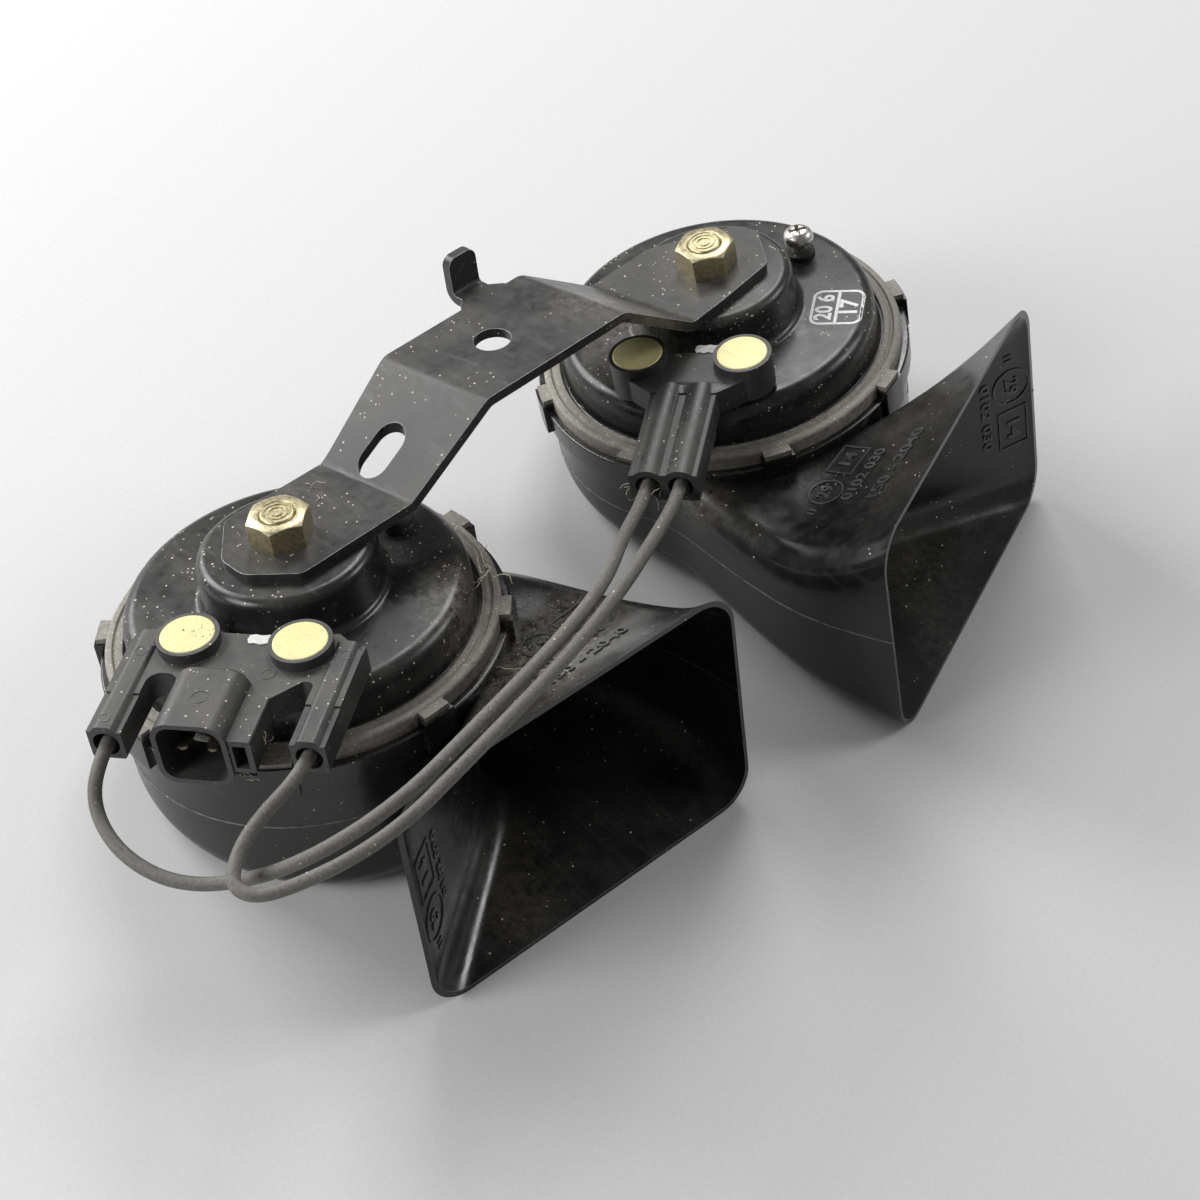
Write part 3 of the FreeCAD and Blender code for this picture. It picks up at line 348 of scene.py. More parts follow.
# %% Finishes
FINISH = {
    "trumpet": finish("moulded_black", (0.006, 0.006, 0.0065, 1), (0.008, 0.008, 0.0085, 1), 0.21,
        film=0.21, grit=0.03, scratches=0.14, grain_size=260.0, grain_depth=0.000004, shine=0.6,
        patch=40.0,
        spots=[("left", (46.0, 36.0, -7.0), 26.0, 0.55), ("right", (14.0, -50.0, -8.0), 12.0, 0.35),
               # The four spots on the mouth floors, near the lower lips, are a painted highlight: a paler patch where
               # the floor shines in the light.
               ("left", (57.0, 8.0, -49.0), 17.0, 0.13), ("left", (67.0, 2.0, -51.0), 12.0, 0.16),
               ("right", (60.0, -18.0, -50.0), 18.0, 0.13), ("right", (70.0, -34.0, -54.0), 11.0, 0.13)]),
    # The marks are paler than the shell they are moulded in: a painted highlight for the light that their raised
    # edges catch.
    "mark": finish("moulded_mark_painted_highlight", (0.030, 0.030, 0.031, 1), (0.050, 0.050, 0.051, 1), 0.26,
        film=0.25, grit=0.02, scratches=0.0, grain_size=300.0, grain_depth=0.000003, shine=0.6),
    "trumpet_edge": finish("moulded_black_worn", (0.03, 0.03, 0.03, 1), (0.05, 0.05, 0.05, 1), 0.4,
        film=0.1, grit=0.05, bare=(0.24, 0.24, 0.235, 1), bare_share=0.75),
    "bracket": finish("painted_strip", (0.020, 0.020, 0.0205, 1), (0.028, 0.028, 0.0285, 1), 0.32,
        film=0.30, grit=0.08, scratches=0.5, grain_size=420.0, grain_depth=0.000008, patch=34.0,
        shine=0.42,
        # The first two spots, on the right ramp, are dust and also a painted sheen where the ramp faces the light.
        spots=[("right", (-3.0, -30.0, 32.0), 16.0, 0.55), ("right", (-10.0, -36.0, 37.0), 16.0, 0.5),
               ("right", (0.0, 0.0, 24.0), 14.0, 0.35), ("left", (0.0, 0.0, 24.0), 11.0, 0.25)]),
    "bracket_edge": finish("painted_strip_worn", (0.04, 0.04, 0.04, 1), (0.07, 0.07, 0.07, 1), 0.36,
        metal=0.4, film=0.1, grit=0.05, bare=(0.50, 0.50, 0.49, 1), bare_share=0.85),
    "housing": finish("painted_housing", (0.011, 0.011, 0.0115, 1), (0.016, 0.016, 0.0165, 1), 0.28,
        film=0.22, grit=0.14, scratches=0.4, grain_size=260.0, grain_depth=0.000005, patch=46.0,
        shine=0.42,
        spots=[("left", (34.0, 26.0, 6.0), 18.0, 0.5), ("right", (-12.0, -18.0, 14.0), 18.0, 0.6),
               ("right", (4.0, -24.0, 10.0), 11.0, 0.5), ("left", (-20.0, 6.0, 12.0), 14.0, 0.3)]),
    "ring": finish("grey_ring", (0.17, 0.16, 0.14, 1), (0.27, 0.255, 0.225, 1), 0.5,
        film=0.6, grit=0.3, scratches=0.2, patch=140.0, dust_colour=(0.34, 0.32, 0.27, 1)),
    "block": finish("connector_black", (0.026, 0.026, 0.026, 1), (0.036, 0.036, 0.036, 1), 0.40,
        film=0.32, grit=0.08, scratches=0.2, grain_size=1600.0, grain_depth=0.00003),
    "block_edge": finish("connector_black_worn", (0.03, 0.03, 0.03, 1), (0.05, 0.05, 0.05, 1), 0.42,
        film=0.2, grit=0.1, bare=(0.17, 0.17, 0.165, 1), bare_share=0.55),
    "rivet": finish("pale_yellow_rivet", (0.66, 0.60, 0.27, 1), (0.78, 0.72, 0.38, 1), 0.40,
        metal=0.1, film=0.12, grit=0.0, scratches=0.1, grain_size=2600.0, grain_depth=0.00006),
    "nut": finish("yellow_zinc", (0.42, 0.36, 0.20, 1), (0.58, 0.52, 0.34, 1), 0.33,
        metal=0.9, film=0.30, grit=0.12, scratches=0.1, grain_size=1200.0),
    "nut_edge": finish("yellow_zinc_worn", (0.42, 0.37, 0.23, 1), (0.52, 0.47, 0.32, 1), 0.34,
        metal=0.9, film=0.2, grit=0.0, scratches=0.0, bare=(0.55, 0.50, 0.35, 1), bare_share=0.3),
    "wire": finish("grey_lead", (0.085, 0.083, 0.076, 1), (0.15, 0.145, 0.13, 1), 0.55,
        film=0.4, grit=0.04, scratches=0.1, grain_size=1500.0, grain_depth=0.00003, patch=150.0),
    "screw": finish("nickel_screw", (0.50, 0.48, 0.44, 1), (0.66, 0.64, 0.60, 1), 0.3,
        metal=1.0, film=0.25, grit=0.1, scratches=0.1),
    "steel": finish("plain_steel", (0.42, 0.42, 0.41, 1), (0.55, 0.55, 0.53, 1), 0.35,
        metal=1.0, film=0.1, grit=0.02),
    "copper": finish("copper_winding", (0.62, 0.26, 0.12, 1), (0.75, 0.36, 0.18, 1), 0.35,
        metal=1.0, film=0.0, grit=0.0, grain_size=2500.0),
    "brass": finish("tinned_brass", (0.15, 0.13, 0.09, 1), (0.21, 0.18, 0.13, 1), 0.45,
        metal=1.0, film=0.1, grit=0.02),
    "paper": finish("brown_laminate", (0.22, 0.13, 0.07, 1), (0.3, 0.19, 0.1, 1), 0.6,
        film=0.1, grit=0.02),
    "pad": finish("white_sheet", (0.55, 0.54, 0.50, 1), (0.70, 0.69, 0.66, 1), 0.6,
        film=0.35, grit=0.1, scratches=0.0, patch=220.0),
    "rubber": finish("black_rubber", (0.008, 0.008, 0.008, 1), (0.014, 0.014, 0.014, 1), 0.65,
        film=0.3, grit=0.2, scratches=0.0),
    "cork": finish("grey_gasket", (0.10, 0.10, 0.10, 1), (0.16, 0.16, 0.15, 1), 0.7,
        film=0.1, grit=0.05),
    "nylon": finish("pale_bobbin", (0.55, 0.53, 0.47, 1), (0.62, 0.6, 0.55, 1), 0.5,
        film=0.05, grit=0.0),
    "stamp": finish("white_stamp", (0.62, 0.63, 0.64, 1), (0.78, 0.79, 0.80, 1), 0.5,
        film=0.1, grit=0.1, scratches=0.0, bare=(0.22, 0.22, 0.23, 1), bare_share=0.12),
    "grain": finish("sand_grain", (0.16, 0.15, 0.12, 1), (0.52, 0.48, 0.40, 1), 0.8,
        film=0.0, grit=0.0, scratches=0.0, grain_size=420.0),
    "fibre": finish("dust_fibre", (0.35, 0.31, 0.22, 1), (0.60, 0.55, 0.42, 1), 0.8,
        film=0.0, grit=0.0, scratches=0.0, grain_size=300.0),
    "weld": finish("weld_line", (0.05, 0.05, 0.048, 1), (0.16, 0.155, 0.14, 1), 0.45,
        film=0.3, grit=0.1, grain_size=500.0),
}
print("finishes", len(FINISH))

# %% [markdown]
# Every solid of the model gets a finish before anything is made new, so no piece is ever left bare.

# %% Finishes of the model's own solids
NODE_FINISH = {
    "housing": "housing", "clamp_ring": "ring", "gaskets": "cork", "diaphragm": "steel", "armature": "steel",
    "pole_core": "nut", "bobbin": "nylon", "winding": "copper", "insulators": "paper", "fixed_contact": "brass",
    "moving_contact": "brass", "rivets": "rivet", "adjusting_screw": "screw", "screw_washer": "rubber", "nut": "nut",
    "insulating_pad": "pad", "terminals": "brass", "connector_block": "block", "trumpet_upper": "trumpet",
    "trumpet_roof": "trumpet", "trumpet_lower": "trumpet",
}


def give(piece, *materials):
    piece.data.materials.clear()
    for material in materials:
        piece.data.materials.append(material)


for name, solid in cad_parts.items():
    key = name.split("_", 1)[1] if name.startswith(("left_", "right_")) else None
    kind = NODE_FINISH.get(key, "bracket" if "bracket" in name else "wire")
    give(solid, FINISH[kind])
for lead in leads.values():
    give(lead, FINISH["wire"])
floor_paint = bpy.data.materials.new("pale_floor")
floor_paint.use_nodes = True
tree = floor_paint.node_tree
speckle = node(tree, "ShaderNodeTexNoise", {"Vector": node(tree, "ShaderNodeTexCoord").outputs["Object"],
                                            "Scale": 900.0, "Detail": 2.0}).outputs["Fac"]
tree.links.new(mixed(tree, ramp(tree, speckle, 0.3, 0.7), (0.615, 0.615, 0.615, 1), (0.645, 0.645, 0.645, 1)),
               tree.nodes["Principled BSDF"].inputs["Base Color"])
tree.nodes["Principled BSDF"].inputs["Roughness"].default_value = 0.7
tree.nodes["Principled BSDF"].inputs["Specular IOR Level"].default_value = 0.1
give(floor, floor_paint)
print("finished nodes", len(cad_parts))

# %% [markdown]
# Solids that come from the model are loose triangles with hard shading. A copy is merged and its
# flat faces joined, then the bends are shaded smooth and the sharp edges get a small round,
# because a real edge always catches a thin line of light. The roof over a mouth is moulded in one
# with the shell at the disc, so both go into one copy and the faces between them are left out.

# %% Copies with smooth bends and rounded edges
MOUTH_X = 73.2
ROOF_LINE = [(26.0, 100.0), (26.0, 14.0), (40.0, 11.0), (44.0, -3.5), (52.0, -6.0), (62.0, -30.0)]


def on_roof_line(point, side):
    """True for a point of the cut between a shell and its roof."""
    x = point.x
    y = point.y if side == "left" else -point.y
    for (x0, y0), (x1, y1) in zip(ROOF_LINE, ROOF_LINE[1:]):
        run = Vector((x1 - x0, y1 - y0))
        to = Vector((x - x0, y - y0))
        along = to.dot(run) / run.length
        if -0.05 < along < run.length + 0.05 and abs(to.cross(run)) / run.length < 0.02:
            return True
    return False


SHARP = math.radians(38.0)
FLAT = math.radians(0.05)


def dressed(name, sources, kind, edge):
    """One smooth piece in place of the named solids. The edge is the width of its rounds in mm."""
    side = name.split("_")[0]
    inverse = HORNS[side].inverted() if side in HORNS else None
    work = bmesh.new()
    for source in sources:
        work.from_mesh(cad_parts[source].data)
    if len(sources) > 1:
        bmesh.ops.remove_doubles(work, verts=work.verts, dist=2e-6)
        shut = []
        for face in work.faces:
            local = [inverse @ vert.co / MM for vert in face.verts]
            upright = abs((inverse.to_3x3() @ face.normal).z) < 0.05
            if upright and all(on_roof_line(p, side) for p in local):
                shut.append(face)
        bmesh.ops.delete(work, geom=shut, context="FACES")
    bmesh.ops.remove_doubles(work, verts=work.verts, dist=2e-6)
    bmesh.ops.dissolve_degenerate(work, dist=1e-6, edges=work.edges)
    bmesh.ops.dissolve_limit(work, angle_limit=FLAT, verts=work.verts, edges=work.edges)
    for face in work.faces:
        face.smooth = True
        if kind == "trumpet":
            if (inverse @ face.calc_center_median() / MM).x > MOUTH_X - 0.05:
                face.material_index = 1
    for line in work.edges:
        line.smooth = len(line.link_faces) == 2 and line.calc_face_angle(0.0) < SHARP
    mesh = bpy.data.meshes.new(name + "_dressed")
    work.to_mesh(mesh)
    work.free()
    piece = bpy.data.objects.new(name + "_dressed", mesh)
    bpy.context.scene.collection.objects.link(piece)
    worn = kind + "_edge"
    give(piece, FINISH[kind], FINISH.get(worn, FINISH[kind]))
    if edge > 0.0:
        rounding = piece.modifiers.new("rounded edges", "BEVEL")
        rounding.width = edge * MM
        rounding.segments = 2
        rounding.limit_method = "ANGLE"
        rounding.angle_limit = SHARP
        rounding.harden_normals = True
        rounding.use_clamp_overlap = True
        rounding.material = 1 if worn in FINISH else -1
    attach(piece, "root")
    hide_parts(*sources)
    return piece


DRESSED = {
    "connector_block": ("block", 0.3), "trumpet_lower": ("trumpet", 0.2), "clamp_ring": ("ring", 0.12),
    "housing": ("housing", 0.0), "nut": ("nut", 0.15), "rivets": ("rivet", 0.0),
}
pieces = {}
for side in HORNS:
    for key, (kind, edge) in DRESSED.items():
        pieces[side + "_" + key] = dressed(side + "_" + key, [side + "_" + key], kind, edge)
    shell = [side + "_trumpet_upper", side + "_trumpet_roof"]
    pieces[side + "_trumpet_upper"] = dressed(side + "_trumpet_upper", shell, "trumpet", 0.2)
# The left adjusting screw gets the black rubber finish instead of nickel: painted shade for the dusty recess it sits
# in.
give(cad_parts["left_adjusting_screw"], FINISH["rubber"])
pieces["bracket"] = dressed("mounting_bracket", ["mounting_bracket"], "bracket", 0.35)
print("dressed", len(pieces))

# %% [markdown]
# Fine lines such as a weld seam or a fibre are a thin bead along a path. One Geometry Nodes tree turns a mesh of
# edges into such a bead; its radius is an input.

# %% Beads along paths
def start_tree(name, inputs):
    tree = bpy.data.node_groups.new(name, "GeometryNodeTree")
    tree.interface.new_socket(name="Geometry", in_out="INPUT", socket_type="NodeSocketGeometry")
    for label, kind, default in inputs:
        socket = tree.interface.new_socket(name=label, in_out="INPUT", socket_type=kind)
        if default is not None:
            socket.default_value = default
    tree.interface.new_socket(name="Geometry", in_out="OUTPUT", socket_type="NodeSocketGeometry")
    return tree, tree.nodes.new("NodeGroupInput"), tree.nodes.new("NodeGroupOutput")


bead_tree, given, put = start_tree("bead_on_path", [("Radius", "NodeSocketFloat", 0.0002),
                                                    ("Material", "NodeSocketMaterial", None)])
path = node(bead_tree, "GeometryNodeMeshToCurve", {"Mesh": given.outputs["Geometry"]})
section = node(bead_tree, "GeometryNodeCurvePrimitiveCircle", {"Resolution": 6, "Radius": given.outputs["Radius"]})
skin = node(bead_tree, "GeometryNodeCurveToMesh", {"Curve": path.outputs[0], "Profile Curve": section.outputs[0],
                                                   "Fill Caps": True})
round_skin = node(bead_tree, "GeometryNodeSetShadeSmooth", {"Geometry": skin.outputs[0]})
real = node(bead_tree, "GeometryNodeRealizeInstances", {0: round_skin.outputs[0]})
painted = node(bead_tree, "GeometryNodeSetMaterial",
               {"Geometry": real.outputs[0], "Material": given.outputs["Material"]})
bead_tree.links.new(painted.outputs[0], put.inputs[0])


def grown(name, mesh, tree, values, material):
    """Plain mesh piece from a base mesh and a Geometry Nodes tree with named inputs."""
    base = bpy.data.objects.new(name + "_base", mesh)
    bpy.context.scene.collection.objects.link(base)
    change = base.modifiers.new("grown", "NODES")
    change.node_group = tree
    sockets = {i.name: i.identifier for i in tree.interface.items_tree if i.in_out == "INPUT"}
    for label, value in values.items():
        change[sockets[label]] = value
    change[sockets["Material"]] = material
    depsgraph = bpy.context.evaluated_depsgraph_get()
    final = bpy.data.meshes.new_from_object(base.evaluated_get(depsgraph))
    bpy.data.objects.remove(base)
    final.name = name
    piece = bpy.data.objects.new(name, final)
    bpy.context.scene.collection.objects.link(piece)
    give(piece, material)
    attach(piece, "root")
    return piece


def line_mesh(name, lines):
    """Mesh of edges from lists of points, each with a flag that closes it."""
    points = []
    edges = []
    for line, closed in lines:
        first = len(points)
        points += line
        edges += [(first + i, first + i + 1) for i in range(len(line) - 1)]
        if closed:
            edges.append((len(points) - 1, first))
    mesh = bpy.data.meshes.new(name)
    mesh.from_pydata(points, edges, [])
    return mesh


# %% Weld seam between the two shells
SEAM_Z = -22.0


def weld_seam(side):
    """Edges of the lower shell on the seam plane that face outwards."""
    horn = HORNS[side]
    inverse = horn.inverted()
    turn = inverse.to_3x3()
    mirror = 1.0 if side == "left" else -1.0
    work = bmesh.new()
    work.from_mesh(pieces[side + "_trumpet_lower"].data)
    tree = BVHTree.FromBMesh(work)
    lines = []
    for edge in work.edges:
        a, b = (inverse @ vert.co / MM for vert in edge.verts)
        if abs(a.z - SEAM_Z) > 0.02 or abs(b.z - SEAM_Z) > 0.02:
            continue
        sides = [f for f in edge.link_faces if abs((turn @ f.normal).z) < 0.5]
        if not sides:
            continue
        out = turn @ sides[0].normal
        middle = (a + b) / 2
        away = Vector((middle.x - 60.0, mirror * middle.y - 25.0, 0.0))
        facing = Vector((out.x, mirror * out.y, 0.0))
        if away.dot(facing) < 0 or out.x > 0.9 and middle.x > 70:
            continue
        below = middle - Vector((0, 0, 0.5))
        start = horn @ ((below + out * 0.3) * MM)
        if tree.ray_cast(start, horn.to_3x3() @ out)[0] is not None:
            continue
        lines.append(([vert.co + (horn.to_3x3() @ out) * -0.00008 for vert in edge.verts], False))
    work.free()
    return lines


for side in HORNS:
    lines = weld_seam(side)
    seam = line_mesh(side + "_seam", lines)
    work = bmesh.new()
    work.from_mesh(seam)
    bmesh.ops.remove_doubles(work, verts=work.verts, dist=5e-5)
    work.to_mesh(seam)
    work.free()
    grown(side + "_weld_seam", seam, bead_tree, {"Radius": 0.00028}, FINISH["weld"])
    print(side, "seam edges", len(lines))

# %% [markdown]
# Moulded marks stand a third of a millimetre proud. Each shape is drawn flat, then every point is
# dropped on to the shell along the view of the mark, so it follows the curve of the wall. The signs
# are plain numbers in a ring and a frame.

# %% Marks that follow a surface
bpy.context.view_layer.update()
depsgraph = bpy.context.evaluated_depsgraph_get()


def surface(*names):
    """Search tree over the finished faces of some pieces."""
    points = []
    faces = []
    for name in names:
        shown = pieces[name].evaluated_get(depsgraph).to_mesh()
        first = len(points)
        points += [vert.co.copy() for vert in shown.vertices]
        faces += [tuple(first + i for i in face.vertices) for face in shown.polygons]
    return BVHTree.FromPolygons(points, faces)


shells = {side: surface(side + "_trumpet_upper", side + "_trumpet_lower") for side in HORNS}


def band_shape(outer, inner):
    """Raised band between two closed outlines, as points (across, up, height 0 or 1) and faces."""
    count = len(outer)
    points = [(x, y, 0) for x, y in outer] + [(x, y, 1) for x, y in outer]
    points += [(x, y, 1) for x, y in inner] + [(x, y, 0) for x, y in inner]
    faces = []
    for layer in range(3):
        for i in range(count):
            k = (i + 1) % count
            faces.append((layer * count + i, layer * count + k, (layer + 1) * count + k, (layer + 1) * count + i))
    return points, faces


def ring_shape(radius, width):
    turns = [2 * math.pi * i / 48 for i in range(48)]
    return band_shape([(radius * math.cos(a), radius * math.sin(a)) for a in turns],
                      [((radius - width) * math.cos(a), (radius - width) * math.sin(a)) for a in turns])


def frame_shape(wide, tall, width, corner=0.0):
    """Rounded frame, with points along its sides so that it can bend."""
    def outline(w, h, r):
        line = []
        for cx, cy, start in ((w - r, h - r, 0), (r - w, h - r, 90), (r - w, r - h, 180), (w - r, r - h, 270)):
            for k in range(5):
                a = math.radians(start + 22.5 * k)
                line.append((cx + r * math.cos(a), cy + r * math.sin(a)))
        closed = line + [line[0]]
        fine = []
        for (x0, y0), (x1, y1) in zip(closed, closed[1:]):
            for k in range(4):
                fine.append((x0 + (x1 - x0) * k / 4, y0 + (y1 - y0) * k / 4))
        return fine
    r = max(corner, 0.05)
    inner = outline(wide / 2 - width, tall / 2 - width, max(r - width, 0.02))
    return band_shape(outline(wide / 2, tall / 2, r), inner)


def text_shape(words, size, stretch=1.0, bold=0.1):
    curve = bpy.data.curves.new("words", "FONT")
    curve.body = words
    curve.size = size
    curve.align_x = "CENTER"
    curve.align_y = "CENTER"
    curve.extrude = 0.5
    curve.resolution_u = 4
    curve.offset = bold
    holder = bpy.data.objects.new("words", curve)
    bpy.context.scene.collection.objects.link(holder)
    flat = bpy.data.meshes.new_from_object(holder.evaluated_get(bpy.context.evaluated_depsgraph_get()))
    bpy.data.objects.remove(holder)
    points = [(vert.co.x * stretch, vert.co.y, 1 if vert.co.z > 0 else 0) for vert in flat.vertices]
    faces = [tuple(face.vertices) for face in flat.polygons]
    bpy.data.meshes.remove(flat)
    return points, faces


SUNK = 0.06


def marks(name, tree, place, items, height, material):
    """Mesh of flat shapes dropped on to a surface. An item is (shape, centre, across, up) in the axes of place."""
    turn = place.to_3x3()
    all_points = []
    all_faces = []
    for (points, faces), centre, across, up in items:
        across = Vector(across).normalized()
        up = Vector(up).normalized()
        out = across.cross(up).normalized()
        first = len(all_points)
        for a, b, level in points:
            local = Vector(centre) + across * a + up * b
            start = place @ ((local + out * 9.0) * MM)
            hit = tree.ray_cast(start, -(turn @ out))[0]
            if hit is None:
                hit = place @ (local * MM)
            lift = height if level else -SUNK
            all_points.append(hit + (turn @ out) * (lift * MM))
        all_faces += [tuple(first + i for i in face) for face in faces]
    mesh = bpy.data.meshes.new(name)
    mesh.from_pydata(all_points, [], all_faces)
    piece = bpy.data.objects.new(name, mesh)
    bpy.context.scene.collection.objects.link(piece)
    give(piece, material)
    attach(piece, "root")
    return piece


STROKE = 0.46
MARK_HEIGHT = 0.32
TOP = ((0.11, 0.994, 0.0), (-0.994, 0.11, 0.0))
TOP_LEFT = ((-0.11, 0.994, 0.0), (-0.994, -0.11, 0.0))
RIGHT_WALL = ((0.0, 0.0, -1.0), (0.6, 0.8, 0.0))
LEFT_WALL = ((0.0, 0.0, 1.0), (0.6, -0.8, 0.0))
marks("right_top_marks", shells["right"], HORNS["right"], [
    (text_shape("11", 2.6), (45.4, -47.0, -3.0), *TOP),
    (ring_shape(4.4, STROKE), (45.9, -39.6, -3.0), *TOP),
    (text_shape("29", 4.6), (45.9, -39.6, -3.0), *TOP),
    (frame_shape(10.2, 7.4, STROKE), (46.6, -27.6, -3.0), *TOP),
    (text_shape("14", 4.6, 1.3), (46.6, -27.6, -3.0), *TOP),
    (text_shape("0102 030", 4.0, 1.25), (53.2, -33.0, -2.0), *TOP),
    (text_shape("150 - 2040", 4.4, 1.35), (60.8, -31.0, 2.0), *TOP)], MARK_HEIGHT, FINISH["mark"])
marks("left_top_marks", shells["left"], HORNS["left"], [
    (ring_shape(4.4, STROKE), (42.0, 35.6, -3.0), *TOP_LEFT),
    (text_shape("29", 4.6), (42.0, 35.6, -3.0), *TOP_LEFT),
    (frame_shape(10.2, 7.4, STROKE), (40.8, 47.4, -3.0), *TOP_LEFT),
    (text_shape("0102 030", 4.0, 1.25), (49.6, 40.0, -2.0), *TOP_LEFT),
    (text_shape("150 - 2040", 4.4, 1.35), (56.4, 38.0, 2.0), *TOP_LEFT)], MARK_HEIGHT, FINISH["mark"])
marks("right_mouth_marks", shells["right"], HORNS["right"], [
    (text_shape("11", 3.0), (69.4, 20.4, -7.6), *RIGHT_WALL),
    (ring_shape(5.4, STROKE), (69.6, 20.8, -16.8), *RIGHT_WALL),
    (text_shape("29", 5.4), (69.6, 20.8, -16.8), *RIGHT_WALL),
    (frame_shape(12.4, 8.6, STROKE), (69.6, 20.8, -30.4), *RIGHT_WALL),
    (text_shape("14", 5.4, 1.4), (69.6, 20.8, -30.4), *RIGHT_WALL),
    (text_shape("0102 030", 3.6, 1.6), (64.8, 14.6, -23.5), *RIGHT_WALL)], MARK_HEIGHT, FINISH["mark"])
marks("left_mouth_marks", shells["left"], HORNS["left"], [
    (text_shape("11", 3.0), (69.0, -20.0, -41.0), *LEFT_WALL),
    (ring_shape(5.6, STROKE), (69.0, -20.0, -33.0), *LEFT_WALL),
    (text_shape("29", 5.4), (69.0, -20.0, -33.0), *LEFT_WALL),
    (frame_shape(12.4, 8.6, STROKE), (69.0, -20.0, -18.6), *LEFT_WALL),
    (text_shape("14", 5.4, 1.4), (69.0, -20.0, -18.6), *LEFT_WALL),
    (text_shape("0102 030", 3.6, 1.5), (64.6, -13.8, -24.0), *LEFT_WALL)], MARK_HEIGHT, FINISH["mark"])

# %% Stamp on the right housing
STAMP = (29.7, 9.1, 12.0)
STAMP_UP = (-0.28, 0.96, 0.0)
STAMP_ACROSS = (0.957, 0.29, 0.0)
SIDEWAYS = (STAMP_UP, tuple(-c for c in STAMP_ACROSS))


def on_stamp(across, up):
    return tuple(c + across * a + up * b for c, a, b in zip(STAMP, STAMP_ACROSS, STAMP_UP))


marks("right_stamp", surface("right_housing"), HORNS["right"], [
    (frame_shape(13.2, 13.6, 0.75, 2.6), STAMP, STAMP_ACROSS, STAMP_UP),
    (frame_shape(0.8, 12.6, 0.39), STAMP, STAMP_ACROSS, STAMP_UP),
    (text_shape("20 6", 6.0, 0.95, 0.16), on_stamp(-3.1, 0.0), *SIDEWAYS),
    (text_shape("17", 6.4, 1.05, 0.16), on_stamp(3.1, -0.3), *SIDEWAYS)], 0.02, FINISH["stamp"])

# %% [markdown]
# Ejector pins leave shallow rings on moulded plastic, one over each thick spot.

# %% Ejector rings on the connector blocks
EJECTORS = {
    "left": [(51.0, -2.7, 1.9), (34.6, -22.5, 1.5), (55.9, -23.2, 1.3), (32.0, 23.5, 1.5), (38.6, 7.8, 1.6)],
    "right": [(66.7, -4.6, 1.25), (65.6, 2.4, 1.25)],
}
for side, spots in EJECTORS.items():
    marks(side + "_ejector_rings", surface(side + "_connector_block"), BLOCKS[side],
          [(ring_shape(radius, 0.22), (u, v, 22.0), (1, 0, 0), (0, 1, 0)) for u, v, radius in spots],
          0.1, FINISH["block_edge"])

# %% [markdown]
# The white insulating sheet under each block has a loose torn edge, which lies over the rear of
# the block between the rivets.

# %% Loose edges of the insulating sheets
TORN = [(-3.7, -1.1), (-2.4, -1.5), (-0.9, -1.2), (0.8, -1.6), (2.3, -1.3), (3.5, -1.4), (3.9, -0.2),
        (3.4, 1.2), (2.0, 1.5), (0.9, 1.1), (-0.6, 1.6), (-2.1, 1.2), (-3.3, 1.5), (-3.9, 0.3)]
SHEET = 0.3
SHEET_Z = 18.1


def loose_edge(side, u, v, scale):
    """Torn flat piece of sheet, centred on (u, v) in the connector's axes."""
    def corner(a, b):
        return BLOCKS[side] @ (Vector((u + b, v + a * scale, SHEET_Z)) * MM)
    work = bmesh.new()
    ring = [work.verts.new(corner(a, b)) for a, b in TORN]
    middle = work.verts.new(corner(0.0, 0.0))
    for first, second in zip(ring, ring[1:] + ring[:1]):
        work.faces.new((middle, first, second))
    bmesh.ops.recalc_face_normals(work, faces=work.faces)
    bmesh.ops.solidify(work, geom=work.faces[:], thickness=SHEET * MM)
    mesh = bpy.data.meshes.new(side + "_sheet_edge")
    work.to_mesh(mesh)
    work.free()
    piece = bpy.data.objects.new(side + "_sheet_edge", mesh)
    bpy.context.scene.collection.objects.link(piece)
    give(piece, FINISH["pad"])
    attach(piece, "root")


loose_edge("left", 28.1, 3.7, 1.0)
loose_edge("right", 25.9, 3.3, 0.75)

# %% [markdown]
# Sand grains gather in drifts. Places are drawn from above with a fixed seed and kept where a noise
# is high, and a Geometry Nodes tree puts a small rough stone on each, with a size of its own.

# %% Grains
grain_tree, given, put = start_tree("grains_on_points", [("Size", "NodeSocketFloat", 0.0002),
                                                         ("Material", "NodeSocketMaterial", None)])
spots = node(grain_tree, "GeometryNodeMeshToPoints", {"Mesh": given.outputs["Geometry"]})
stone = node(grain_tree, "GeometryNodeMeshIcoSphere", {"Radius": given.outputs["Size"], "Subdivisions": 1})
spin = node(grain_tree, "FunctionNodeRandomValue", {0: (0.0, 0.0, 0.0), 1: (6.28, 6.28, 6.28), "Seed": 3},
            data_type="FLOAT_VECTOR")
stretch = node(grain_tree, "FunctionNodeRandomValue", {0: (0.5, 0.5, 0.35), 1: (1.5, 1.1, 0.9), "Seed": 4},
               data_type="FLOAT_VECTOR")
own = node(grain_tree, "GeometryNodeInputNamedAttribute", {"Name": "own_size"}, data_type="FLOAT")
sized = node(grain_tree, "ShaderNodeVectorMath", {0: stretch.outputs[0], 3: own.outputs[0]}, operation="SCALE")
strewn = node(grain_tree, "GeometryNodeInstanceOnPoints", {"Points": spots.outputs[0], "Instance": stone.outputs[0],
                                                           "Rotation": spin.outputs[0], "Scale": sized.outputs[0]})
real = node(grain_tree, "GeometryNodeRealizeInstances", {0: strewn.outputs[0]})
painted = node(grain_tree, "GeometryNodeSetMaterial",
               {"Geometry": real.outputs[0], "Material": given.outputs["Material"]})
grain_tree.links.new(painted.outputs[0], put.inputs[0])

random.seed(11)
whole = surface(*pieces)
strip = surface("bracket")
lowest, highest = cad_box
grain_points = []
grain_sizes = []
SHARE_ON_STRIP, SHARE_LOW, SHARE_ON_HORNS = 0.12, 0.2, 0.8
LOW = 0.022


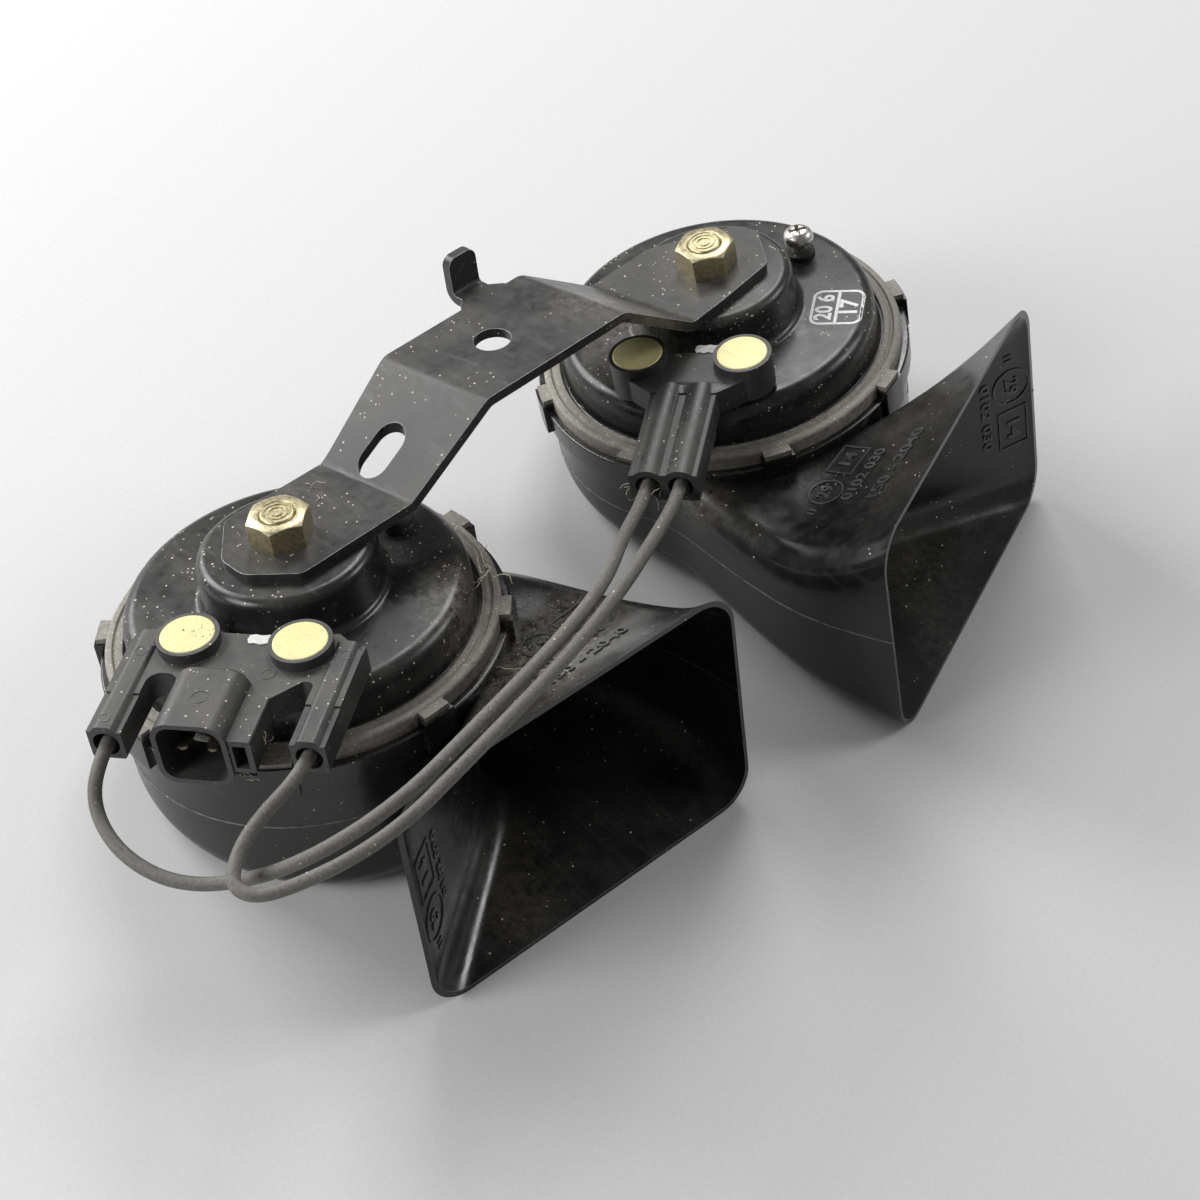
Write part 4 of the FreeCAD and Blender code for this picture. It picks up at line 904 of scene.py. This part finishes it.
def drop_grain(x, y, size):
    """A grain where a plumb line first meets the horns, if the surface there faces up."""
    hit, normal, _, _ = whole.ray_cast(Vector((x, y, 0.2)), Vector((0, 0, -1)))
    if hit is None or normal.z < 0.35:
        return
    on_strip = strip.find_nearest(hit, 0.0001)[0] is not None
    share = SHARE_ON_STRIP if on_strip else SHARE_LOW if hit.z < LOW else SHARE_ON_HORNS
    if random.random() > share:
        return
    grain_points.append(hit)
    grain_sizes.append(size)


for _ in range(9000):
    x = random.uniform(lowest.x, highest.x)
    y = random.uniform(lowest.y, highest.y)
    cloud = noise.fractal(Vector((x, y, 0.0)) * 42.0, 1.0, 2.0, 3) * 0.5 + 0.5
    if random.random() < cloud ** 4 * 0.8:
        drop_grain(x, y, random.uniform(0.2, 0.5) if random.random() < 0.93 else random.uniform(0.5, 1.1))
DRIFTS = [
    ("left", (40.5, 20.0), 4.0, 150), ("left", (34.0, 31.0), 5.0, 130), ("left", (28.0, 26.0), 6.0, 120),
    ("left", (20.0, 28.0), 7.0, 120), ("left", (44.0, 36.0), 8.0, 260), ("left", (36.0, 45.0), 8.0, 240),
    ("left", (54.0, 40.0), 7.0, 130), ("left", (-22.0, 8.0), 6.0, 60), ("left", (6.0, -30.0), 5.0, 70),
    ("right", (12.0, -47.0), 4.0, 60), ("right", (2.0, -24.0), 7.0, 160), ("right", (12.0, -36.0), 6.0, 110),
    ("right", (6.0, -12.0), 4.0, 60), ("right", (-14.0, -14.0), 7.0, 220), ("right", (-26.0, -12.0), 6.0, 120),
    ("right", (36.0, -24.0), 5.0, 90), ("right", (46.0, -36.0), 8.0, 60),
]
for side, (x, y), spread, count in DRIFTS:
    for _ in range(count):
        spot = HORNS[side] @ (Vector((random.gauss(x, spread / 2), random.gauss(y, spread / 2), 0.0)) * MM)
        drop_grain(spot.x, spot.y, random.uniform(0.2, 0.55) if random.random() < 0.85 else random.uniform(0.55, 1.3))
grain_mesh = bpy.data.meshes.new("grain_spots")
grain_mesh.from_pydata(grain_points, [], [])
sizes = grain_mesh.attributes.new("own_size", "FLOAT", "POINT")
sizes.data.foreach_set("value", grain_sizes)
grown("sand_grains", grain_mesh, grain_tree, {"Size": 0.00024}, FINISH["grain"])
print("grains", len(grain_points))

# %% Fibres caught on edges
FLUFF = [
    ("right", (15.0, -68.5, 12.4), 2.6, 24, 8.0), ("left", (36.6, -35.0, 13.0), 2.4, 14, 7.0),
    ("left", (37.0, -41.0, 4.0), 2.0, 10, 6.0), ("left", (30.5, 33.0, 9.0), 2.5, 6, 8.0),
    ("left", (50.0, 30.0, -5.0), 6.0, 7, 9.0), ("right", (20.0, -30.0, 12.0), 5.0, 4, 7.0),
    ("left", (-8.0, 14.0, 24.0), 4.0, 3, 6.0), ("right", (64.0, -60.0, -20.0), 4.0, 3, 6.0),
]
fibres = []
for side, centre, spread, count, length in FLUFF:
    for _ in range(count):
        aside = Vector((random.gauss(0, spread / 2), random.gauss(0, spread / 2), random.gauss(0, 0.5)))
        here = Vector(centre) + aside
        way = Vector((random.gauss(0, 1), random.gauss(0, 1), random.gauss(0, 0.35))).normalized()
        line = []
        for _ in range(14):
            line.append(HORNS[side] @ (here * MM))
            way = (way + Vector((random.gauss(0, 0.4), random.gauss(0, 0.4), random.gauss(0, 0.25)))).normalized()
            here = here + way * (length * random.uniform(0.6, 1.2) / 14)
        fibres.append((line, False))
grown("dust_fibres", line_mesh("fibre_lines", fibres), bead_tree, {"Radius": 0.00008}, FINISH["fibre"])
print("fibres", len(fibres))
